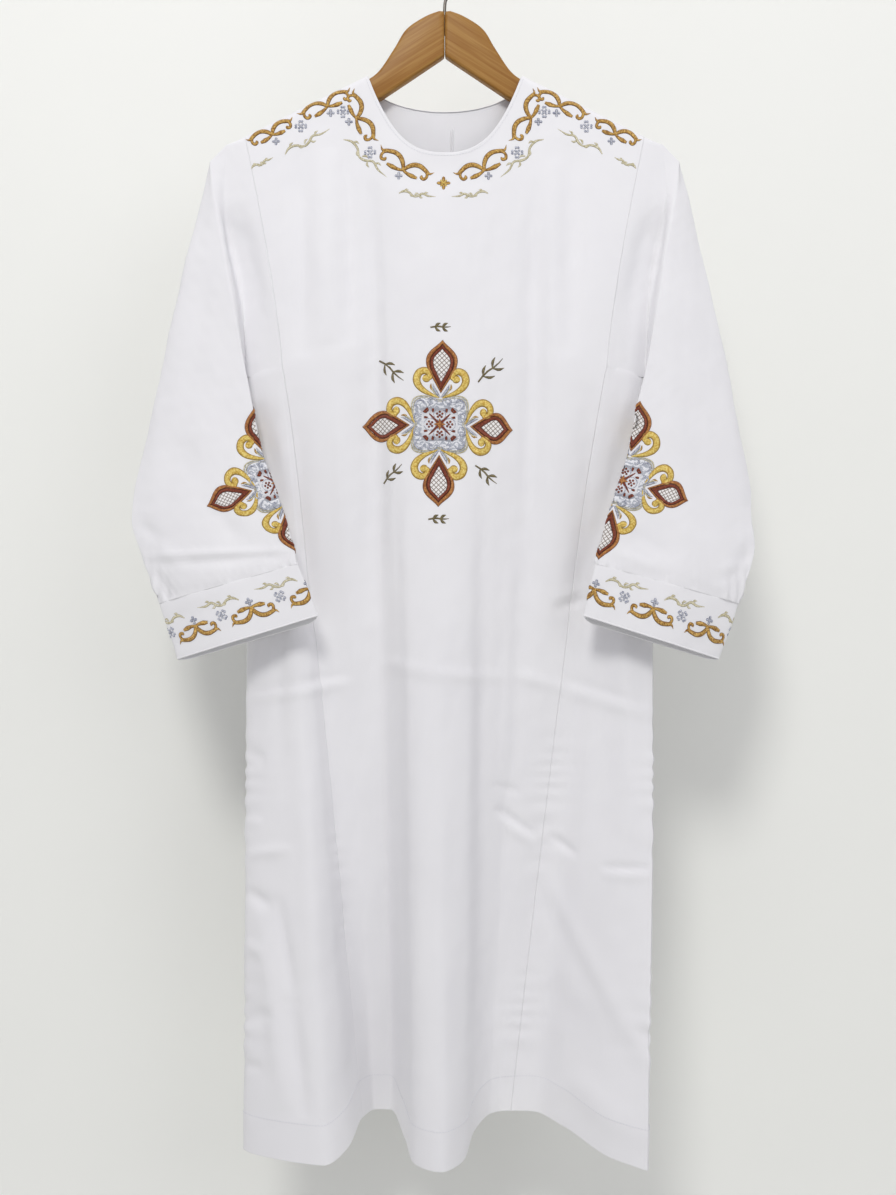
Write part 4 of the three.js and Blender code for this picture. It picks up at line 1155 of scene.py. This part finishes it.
def petalRim(base, tip, halfWidth, samples=44):
    # the petal's outline, from its base up one side to the tip and down the other
    rise = (1 - np.cos(np.linspace(0, math.pi, samples))) / 2
    places = np.array(petalWidths)
    width = np.interp(rise, places[:, 0], places[:, 1])
    padded = np.pad(width, 2, mode="reflect", reflect_type="odd")
    width = np.convolve(padded, [0.1, 0.2, 0.4, 0.2, 0.1], "valid")   # rounds the table's corners
    up = np.stack([np.maximum(0, width) * halfWidth, mix(base, tip, rise)], -1)
    return np.concatenate([up, (up * (-1, 1))[::-1][1:]])


def band(thread, outer, inner, lift, height):
    # a stroke between two given edges
    return thread, np.asarray(outer, float), np.asarray(inner, float), lift, height


def petal(base, tip):
    # a lattice inside a garnet band inside a copper one; each rim is drawn in at its base and tip
    rims = [petalRim(base + atBase, tip - atTip, half)
            for atBase, atTip, half in ((0, 0, 14.6), (2.6, 4.4, 11.0), (10.6, 8.6, 7.7))]
    half = len(rims[2]) // 2
    fill = band("lattice", rims[2][:half + 1] * (-1.04, 1), rims[2][:half + 1] * (1.04, 1), 0.1, 0.35)
    return [fill, band("copper", rims[0], rims[1], 0.15, 0.8), band("garnet", rims[1], rims[2], 0.15, 0.75)]


armDrawn = {"base": 28.8, "length": 49.7, "slide": 12.0}   # the petal that the scrolls are drawn for
armStrokes = [   # one half of an arm: thread, points, half widths, lift, height, count
    ("silver", [(0.5, 25), (3.4, 28.5), (6.2, 33), (7.6, 37.5)], [0.5, 1.3, 1.2, 0.2], 0.1, 0.6, None),
    ("paleGold", [(1.8, 24.6), (5.4, 28.4), (8.3, 33), (9.3, 36.5)], [0.3, 0.6, 0.8, 0.2], 0.15, 0.5, None),
    ("bronze", [(8.6, 31.6), (9.4, 34.4), (9.2, 37.4)], [0.4, 1.1, 0.3], 0.15, 0.55, None),
]


def halfStrokes(side, rows):
    # the strokes of a table, mirrored across when side is -1
    return [stroke(thread, np.array(points) * (side, 1), halves, lift, height, count)
            for thread, points, halves, lift, height, count in rows]


def medallionArm(base, tip):
    # one petal with its two scrolls, and the silver leaves between them, stretched to the petal's length
    strokes = []
    for side in (-1, 1):
        strokes += halfStrokes(side, [("yellow", scrollPath, scrollHalves, 0.05, 0.85, 46)])
        strokes.append(dot("yellow", (13.7 * side, 42.2), 3.9))
        strokes += halfStrokes(side, armStrokes)
    stretch = (tip - base) / armDrawn["length"]
    offset = np.array([0, (base - armDrawn["base"]) + armDrawn["slide"] * (1 - stretch)])
    return moved(strokes, [[1, 0], [0, 0.5 + 0.5 * stretch]], offset) + petal(base, tip)


def lobedSquare(reach, dip, samples=120):
    # a superellipse drawn in at the middle of each side
    turn = np.linspace(0, math.tau, samples)
    c, s = np.abs(np.cos(turn)), np.abs(np.sin(turn))
    radius = reach * (c ** 6 + s ** 6) ** (-1 / 6) * (1 - dip * np.cos(2 * turn) ** 4)
    return np.stack([np.cos(turn), np.sin(turn)], -1) * radius[:, None]


heartStrokes = [   # one half of a quarter: thread, points, half widths, lift, height, count
    ("silver", [(1.8, 20.4), (4.4, 23.2), (8.4, 23.6), (10.2, 20.6), (8.2, 18.4), (6.2, 19.8)],
     [0.4, 0.8, 1.0, 1.0, 0.9, 0.5], 0.5, 0.6, None),
    ("silver", [(13.4, 18.6), (16, 21.6), (20, 22.4), (21.6, 19.4)], [0.4, 0.9, 1.0, 0.5], 0.5, 0.6, None),
    ("garnet", [(12.6, 14.6), (11.2, 12.8), (12.2, 11.2)], [1.7, 1.2, 0.3], 0.75, 0.5, 7),
    ("garnet", [(6.4, 14.4), (6.2, 12.4), (6.4, 10.8)], [1.1, 1.2, 0.4], 0.75, 0.5, 7),
    ("garnet", [(1.6, 1.9), (4.4, 5.2), (9.6, 9.8)], [1.1, 0.6, 0.35], 0.75, 0.4, None),
]
heartDots = ((0, 11.6), (-2.4, 9.8), (2.4, 9.8), (0, 8.4), (-1.7, 6.9), (1.7, 6.9))


def turnMatrix(degrees):
    # turns clockwise from straight up
    turn = math.radians(degrees)
    return np.array([[math.cos(turn), math.sin(turn)], [-math.sin(turn), math.cos(turn)]])


def medallionHeart(reach=26.8, panel=16.6):
    # the silver ground and its two rims, a white square with softened corners, and four like quarters
    rim = lobedSquare(reach, 0.15)
    span = np.linspace(-panel, panel, 34)
    corner = panel - 1.6 * (np.abs(span) / panel) ** 8
    strokes = [band("ground", rim * 0.99, rim * 0.5, 0.05, 0.5),
               band("paleGold", rim * 1.015, rim * 0.975, 0.3, 0.5),
               band("paleGold", rim * 0.945, rim * 0.92, 0.5, 0.4),
               band("white", np.stack([span, -corner], -1), np.stack([span, corner], -1), 0.45, 0.35)]
    around = np.linspace(0, math.tau, 30)
    ring = np.stack([5.5 * np.sin(around), 9 + 5.5 * np.cos(around)], -1)
    for quarter in range(4):
        pieces = halfStrokes(-1, heartStrokes) + halfStrokes(1, heartStrokes)
        pieces.append(stroke("silver", ring, [0.45, 0.45], 0.75, 0.4, 36))
        pieces += [dot("garnet", place, 1.15, 0.75) for place in heartDots]
        point = [(0, 0), (0, 1.8), (0, 3.8), (0, 5.4)]
        pieces.append(stroke("copper", point, [2.8, 1.6, 0.9, 0.2], 0.85, 0.5, 8))
        strokes += moved(pieces, turnMatrix(90 * quarter), np.zeros(2))
    return strokes


def medallion(arms):
    # arms: direction in degrees from straight up, where the petal starts, where it ends
    strokes = medallionHeart()
    for angle, base, tip in arms:
        strokes += moved(medallionArm(base, tip), turnMatrix(angle), np.zeros(2))
    return strokes


def leafSprig(centre, angle, reach):
    # a stem with a bud at its end and two pairs of leaves
    thick = 1 / reach
    pieces = [stroke("olive", [(-0.5, 0), (-0.15, 0.06), (0.2, 0.02), (0.5, 0.05)],
                     np.array([0.8, 0.9, 0.8, 0.3]) * thick)]
    for x in (-0.28, 0.08):
        for side in (-1, 1):
            leaf = [(x, 0.03), (x + 0.12, 0.14 * side + 0.02), (x + 0.27, 0.2 * side + 0.02)]
            pieces.append(stroke("olive", leaf, np.array([0.5, 1.6, 0.3]) * thick, height=0.6))
    return moved(pieces, turnMatrix(angle) * reach, np.asarray(centre, float))


frontMedallion = {"centre": (-4.6, -455.5), "angle": 0.6,
                  "arms": [(1.4, 28.8, 78.5), (93.2, 28.0, 68.0), (180.4, 28.0, 76.5), (268.6, 27.6, 72.0)],
                  "sprigs": [(0, 90, 0, 19), (43, 69, -42, 32), (-43, 68, 42, 31), (137, 63, 42, 26),
                             (-137, 63, -42, 25), (180, 88, 0, 19)]}   # bearing, distance, turn, length


def placeFrontMedallion(settings):
    # the medallion, and a sprig at each bearing and distance from its centre
    strokes = medallion(settings["arms"])
    for bearing, distance, turn, length in settings["sprigs"]:
        way = math.radians(bearing)
        strokes += leafSprig((math.sin(way) * distance, math.cos(way) * distance), turn, length)
    chart = turned(frontChart, settings["centre"], settings["angle"])
    return embroider("frontMedallion", strokes, chart, "front_panel")


# the neck's border on the left half, mirrored about its middle line: scroll units as tip, junction, tip and
# bud, then the silver flowers and the vines
neckBorder = {
    "middle": -1.0,
    "scrolls": [((-59.9, -192.3), (-38.8, -216.6), (-9.8, -219.2), (-42.9, -221.8)),
                ((-61.9, -188.3), (-82.9, -165.9), (-84.9, -137.5), (-89.8, -169.3)),
                ((-88.8, -136.5), (-109.9, -154.6), (-139.0, -161.0), (-106.9, -161.0)),
                ((-142.9, -164.5), (-162.0, -180.8), (-187.0, -185.5), (-158.2, -187.4))],
    "flowers": [(-95.4, -159.9), (-134.9, -173.5), (-69.8, -199.1)],
    "vines": [(-150.1, -198.9, -106.9, -177.7), (-181.4, -212.6, -160.6, -203.7),
              (-93.5, -185.0, -55.3, -224.9), (-42.4, -237.7, -8.5, -243.5)],
    "star": (0, -229.1),   # from the middle line
}


def placeNeckBorder(settings):
    # a star on the middle line, and the left half laid on twice, once as its mirror image
    middle, star = settings["middle"], settings["star"]
    strokes = smallFlower(star, 6.6, 4, 0, "bronze", 1.9) + smallFlower(star, 4.6, 4, 45, "yellow", 1.1)
    strokes.append(dot("yellow", star, 1.3, 0.5))
    half = []
    for places in settings["scrolls"]:
        half += scrollUnit(*[np.subtract(place, (middle, 0)) for place in places])
    for x, z in settings["flowers"]:
        half += squareFlower((x - middle, z), 4.7, 45)
    for x0, z0, x1, z1 in settings["vines"]:
        half += vine((x0 - middle, z0), (x1 - middle, z1))
    strokes += half + moved(half, [[-1, 0], [0, 1]], np.zeros(2))
    return embroider("neckBorder", strokes, turned(frontChart, (middle, 0), 0), "front_panel")


sleeveMedallions = {
    -1: {"centre": (-3.0, 105.0), "skew": 0.34,
         "arms": [(0, 28.8, 76), (90, 25, 73), (180, 28, 70), (270, 26, 66)]},
    1: {"centre": (2.5, 103.0), "skew": 0.3,
        "arms": [(0, 28.8, 77), (90, 25.5, 68), (180, 28.8, 77), (270, 26, 66)]},
}


def placeSleeveMedallion(side, settings, name, node):
    # the medallion wraps round the fold, in lengths along the unrolled cloth
    unrolled = RingChart(side, rowAt["underarm"] + 0.01, rowAt["cuffSeam"], sleeveSurface)
    across, down = settings["centre"]

    def chart(x, y):
        # y runs up the sleeve from the medallion's centre; rows meet the fold on the skew near the elbow
        at = down - y
        skew = settings["skew"] * (1 - smooth((at - 95) / 85))
        return unrolled(across + x, at + x * skew)
    return embroider(name, medallion(settings["arms"]), chart, node)


# the cuff's border: units spaced round it from the fold, and heights over the lower edge
cuffBorder = {"pitch": 56.0, "offset": {-1: -2.0, 1: 4.6}, "junction": 25.5, "tips": 22.5, "drop": 12.0,
              "bud": 31.0, "flower": 27.0, "vine": 38.5, "vineStart": 8.0, "vineLength": 40.0,
              "vineRise": 2.0, "margin": 2.0}


def placeCuffBorder(side, settings, name, node):
    # a scroll unit, a flower and a vine at every pitch from the fold round to the back
    unrolled = RingChart(side, rowAt["cuffSeam"], rowAt["cuffEnd"], cuffSurface)
    width, middleRow = unrolled.down[-1], (rowAt["cuffSeam"] + rowAt["cuffEnd"]) / 2
    girth = np.diff(unrolled.lengthAt(np.full(2, middleRow), np.array([-0.1, 4.9])))[0]
    ends = unrolled.across[0, 0] + settings["margin"], unrolled.across[0, -1] - settings["margin"]
    tips, junction = settings["tips"], settings["junction"]
    strokes = []
    for k in range(-1, int(girth // settings["pitch"]) - 1):
        x = settings["offset"][side] + k * settings["pitch"]
        if x - tips < ends[0] or x + tips > ends[1]:
            continue
        low = junction - settings["drop"]
        strokes += scrollUnit((x - tips, low), (x, junction), (x + tips, low), (x, settings["bud"]))
        strokes += squareFlower((x + settings["pitch"] / 2, settings["flower"]), 4.5, 0)
        leaf = x + settings["vineStart"]
        strokes += vine((leaf, settings["vine"] - settings["vineRise"]),
                        (leaf + settings["vineLength"], settings["vine"]))
    # the border's y is the height over the cuff's lower edge
    return embroider(name, strokes, lambda x, y: unrolled(x, width - y), node)


medallionPiece = placeFrontMedallion(frontMedallion)
neckPiece = placeNeckBorder(neckBorder)
sleeveWork, cuffWork = {}, {}
for side, word in bothSides.items():
    end = "_" + word.lower()
    sleeveWork[side] = placeSleeveMedallion(side, sleeveMedallions[side], "medallion" + word, "sleeve" + end)
    cuffWork[side] = placeCuffBorder(side, cuffBorder, "cuffBorder" + word, "cuff" + end)
print("embroidery laid on")


# sewing: topstitching at the neck and hem, and the opening at the back of the neck
stitchLook = {"pitch": 2.9, "length": 2.3, "radius": 0.26, "lift": 0.1, "sides": 6, "neckInset": 2.6,
              "hemInset": 2.0}
stitchShape = [   # along, girth, lift
    (-0.5, 0.35, -0.25), (-0.3, 1.0, 0.1), (0.3, 1.0, 0.1), (0.5, 0.35, -0.25)]


def stitches(name, path, normals, node):
    # thread runs along a path on the cloth: each stitch is a short rod whose ends dip into it
    arc = arcLength(path)
    centres = np.arange(stitchLook["pitch"], arc[-1] - stitchLook["pitch"], stitchLook["pitch"])
    shape = np.array(stitchShape)
    at = centres[:, None] + shape[None, :, 0] * stitchLook["length"]
    place = np.stack([np.interp(at, arc, path[:, k]) for k in range(3)], -1)
    facing = unit(np.stack([np.interp(at, arc, normals[:, k]) for k in range(3)], -1))
    along = unit(np.gradient(place, axis=1))
    aside = np.cross(along, facing)
    turn = np.linspace(0, math.tau, stitchLook["sides"], endpoint=False)
    girth = stitchLook["radius"] * shape[None, :, 1, None, None]
    lift = stitchLook["lift"] + shape[None, :, 2, None, None]
    outward = aside[:, :, None] * np.cos(turn)[:, None] + facing[:, :, None] * np.sin(turn)[:, None]
    ring = place[:, :, None] + facing[:, :, None] * lift + girth * outward
    one = gridQuads(len(shape), len(turn), around=True)
    quads = (one[None] + (np.arange(len(centres)) * len(shape) * len(turn))[:, None, None]).reshape(-1, 4)
    return dress(meshObject(name, ring.reshape(-1, 3), quads, None, None, sewingThread), node)


def sewingMaterial():
    # white twisted thread, with a little painted shade in its hollows
    s = Shader("sewingThread")
    twist = s.noise(s.coordinates(), 2400.0, 1.0)
    # painted shade: the colour falls to the darker white where the twist's bump is low
    s.set(BaseColor=s.blend(twist, (0.7, 0.7, 0.74), (0.84, 0.84, 0.87)), Roughness=0.55,
          Normal=s.bump(twist, 0.3, 0.0001))
    return s.material


sewingThread = sewingMaterial()


def neckStitches(name, neck, chart, node):
    # along the neck's curve, set in from its edge
    x = body["neckX"] * 0.985 * np.sin(np.linspace(-1, 1, 400) * math.pi / 2)
    edge = np.stack([x, neckEdgeZ(x, neck)], -1)
    tangent = unit(np.gradient(edge, axis=0))
    line = edge + np.stack([tangent[:, 1], -tangent[:, 0]], -1) * stitchLook["neckInset"]
    return stitches(name, *chart(line[:, 0], line[:, 1]), node)


def hemStitches():
    # all round, just under the upper edge of the turned hem
    s = np.linspace(0, len(bodyLines), 1200)
    path, normals = bodySurface(s, bodyBottom(s) + body["hemDepth"] - stitchLook["hemInset"])
    return stitches("hemStitches", path, normals, "front_panel")


slit = {"x": 7.0, "top": -168.0, "bottom": -240.0, "gap": 0.35,
        "lip": [(0, 0.05), (0.1, 0.75), (0.5, 1.15), (1.1, 0.85), (1.9, 0.05)]}   # away from the gap, raised


def slitEdges():
    # the rolled edges of the opening at the back of the neck, on the inside of the back panel
    z = np.linspace(slit["top"], slit["bottom"], 40)
    taper = np.minimum(1, np.minimum(slit["top"] - z, z - slit["bottom"]) / 2.5 + 0.02)
    points, quads = [], []
    for k, side in enumerate((-1, 1)):
        rows = []
        for away, raised in slit["lip"]:
            place, facing = backChart(np.full_like(z, slit["x"] + side * (slit["gap"] / 2 + away)), z)
            rows.append(place - facing * (raised * taper)[:, None])
        points.append(np.stack(rows, 1).reshape(-1, 3))
        quads.append(gridQuads(len(z), len(slit["lip"]), start=k * len(z) * len(slit["lip"])))
        quads[-1] = quads[-1][:, ::side]
    points = np.concatenate(points)
    item = meshObject("neckSlitEdges", points, np.concatenate(quads), points[:, [0, 2]], None, clothMaterial)
    return dress(item, "back_panel")


neckSeams = [neckStitches("neckStitchesFront", body["frontNeck"], frontChart, "front_panel"),
             neckStitches("neckStitchesBack", body["backNeck"], backChart, "back_panel")]
hemSeam = hemStitches()
slitPiece = slitEdges()
print("stitching done")


# the hanger
hanger = {"thickness": 12.0, "bevel": 3.0, "slope": 1.15, "jointGap": 0.3,
          "top": [(0, -62), (17, -67), (34, -78.5), (45, -96), (60, -118), (75, -129.5)],
          "tipX": 216.5, "tipTop": -208.0, "tipBottom": -224.0, "under": [(61, -145.2), (0, -106.4)],
          "underBow": (30, -12), "jointBow": (-30, 20), "lean": -32.0}
woodTones = {"honey": (172, 130, 70), "amber": (146, 100, 46), "grain": (122, 80, 36)}
hook = {"wire": 3.0, "innerRadius": 20.0, "endAngle": 205, "seatDepth": 24.0, "sides": 18}


def bent(start, control, end, count):
    # a quadratic curve
    t = np.linspace(0, 1, count)[:, None]
    return (1 - t) ** 2 * start + 2 * t * (1 - t) * control + t * t * end


def armOutline():
    # the arm's outline drawn in by the bevel, from the joint over the shoulder to the tip and back below
    bevel, (midX, midZ), (_, jointZ) = hanger["bevel"], *hanger["under"]
    edge = hanger["jointGap"] / 2 + bevel
    top = np.array([(x, z - bevel * hanger["slope"]) for x, z in hanger["top"]], float)
    top[0] = edge, hanger["top"][0][1] - bevel
    tipX = hanger["tipX"] - bevel
    tipTop, tipBottom = (tipX, hanger["tipTop"] - bevel), (tipX, hanger["tipBottom"] + bevel)
    middle, joint = np.array([midX, midZ + bevel]), np.array([edge, jointZ + bevel])
    under = bent(np.array(tipBottom), middle + hanger["underBow"], middle, 60)
    crotch = bent(middle, middle + hanger["jointBow"], joint, 30)
    return np.concatenate([spline(top, 60), np.linspace(top[-1], tipTop, 50)[1:],
                           np.linspace(tipTop, tipBottom, 8)[1:], under[1:], crotch[1:],
                           np.linspace(joint, top[0], 22)[1:-1]])


def woodMaterial():
    # long grain along the arm with darker growth lines, under a thin varnish
    s = Shader("honeyWood")
    along, across, _ = s.separate(s.coordinates("UV"))
    deep = s.separate(s.coordinates())[1]
    bands = s.noise(s.combine(along * 0.012, across * 0.3, deep * 300.0), 1.0, 3.0, 0.55)
    fine = s.noise(s.combine(along * 0.05, across * 2.2, deep * 900.0), 1.0, 2.0)
    tone = s.blend(s.spread(bands, 0.36, 0.66), colour(*woodTones["honey"]), colour(*woodTones["amber"]))
    tone = s.blend(fine * 0.45, tone, colour(*woodTones["grain"]))
    s.set(BaseColor=tone, Roughness=0.48, SpecularIORLevel=0.2, CoatWeight=0.05, CoatRoughness=0.2,
          Normal=s.bump(fine, 0.15, 0.0002))
    return s.material


def wireMaterial():
    # dull dark steel, faintly streaked
    s = Shader("hookWire")
    drawn = s.noise(s.coordinates(), 300.0, 3.0)
    s.set(BaseColor=s.blend(drawn, (0.10, 0.09, 0.08), (0.2, 0.185, 0.165)), Metallic=1.0, Roughness=0.36,
          Normal=s.bump(drawn, 0.1, 0.0001))
    return s.material


def woodArm(side, name, node, material):
    # rings over the thickness: each follows the outline, pushed out round the bevel's quarter circle
    outline = armOutline()
    tangent = unit(np.roll(outline, -1, axis=0) - np.roll(outline, 1, axis=0))
    outward = np.stack([-tangent[:, 1], tangent[:, 0]], -1)
    turn = np.linspace(0, math.pi / 2, 6)
    flat = hanger["thickness"] / 2 - hanger["bevel"]
    steps = [(hanger["bevel"] * math.cos(a), -flat - hanger["bevel"] * math.sin(a)) for a in turn[::-1]]
    steps += [(push, -y) for push, y in steps[::-1]]
    rings = [np.insert(outline + outward * push, 1, y, axis=1) for push, y in steps]
    points = np.array(rings) * (side, 1, 1)
    count = len(outline)
    quads = gridQuads(len(rings), count, around=True)
    caps = [list(range(count)), list(range((len(rings) - 1) * count, len(rings) * count))[::-1]]
    faces = quads.tolist() + caps
    if side > 0:
        faces = [face[::-1] for face in faces]
    mesh = bpy.data.meshes.new(name)
    flatPoints = points.reshape(-1, 3)
    mesh.from_pydata((flatPoints * metre).tolist(), [], faces)
    mesh.polygons.foreach_set("use_smooth", np.full(len(mesh.polygons), True))
    lean = math.radians(hanger["lean"])
    u = flatPoints[:, 0] * side * math.cos(lean) + flatPoints[:, 2] * math.sin(lean)
    v = -flatPoints[:, 0] * side * math.sin(lean) + flatPoints[:, 2] * math.cos(lean)
    loops = np.empty(len(mesh.loops), np.int32)
    mesh.loops.foreach_get("vertex_index", loops)
    layer = mesh.uv_layers.new(name="cut")
    layer.data.foreach_set("uv", np.stack([u + 400 * side, v], -1)[loops].astype(np.float32).ravel())
    mesh.materials.append(material)
    item = bpy.data.objects.new(name, mesh)
    bpy.context.scene.collection.objects.link(item)
    return dress(item, node)


def hookPiece():
    # a round wire along its middle line, closed by a rounded end
    radius, middleZ = hook["innerRadius"] + hook["wire"] / 2, -hook["innerRadius"]
    start = hanger["top"][0][1] - hook["seatDepth"] + 0.3 + hook["wire"] / 2
    line = [(0, start), (0, -70), (0, -58), (1.5, -50), (8, -42)]
    line += [(radius * math.cos(a), middleZ + radius * math.sin(a))
             for a in np.radians(np.arange(-50, hook["endAngle"] + 1, 15))]
    path = spline(line, 220)
    tangent = unit(np.gradient(path, axis=0))
    aside = np.stack([tangent[:, 1], -tangent[:, 0]], -1)
    turn = np.linspace(0, math.tau, hook["sides"], endpoint=False)
    close = np.linspace(0, math.pi / 2, 6)[1:]
    thick = hook["wire"] / 2
    ends = path[-1] + tangent[-1] * thick * np.sin(close)[:, None]
    path = np.concatenate([path, ends])
    aside = np.concatenate([aside, np.repeat(aside[-1:], len(close), 0)])
    girth = thick * np.concatenate([np.ones(len(path) - len(close)), np.maximum(0.02, np.cos(close))])
    flat = path[:, None] + aside[:, None] * (girth[:, None] * np.cos(turn))[..., None]
    depth = girth[:, None] * np.sin(turn)
    points = np.stack([flat[..., 0], depth, flat[..., 1]], -1)
    quads = gridQuads(len(path), len(turn), around=True)[:, ::-1]
    item = meshObject("hangerHook", points.reshape(-1, 3), quads, None, None, wireMaterial())
    return dress(item, "hanger_hook")


honeyWood = woodMaterial()
for side, word in bothSides.items():
    woodArm(side, "hangerArm" + word, "hanger_arm_" + word.lower(), honeyWood)
hookPiece()
print("hanger made")
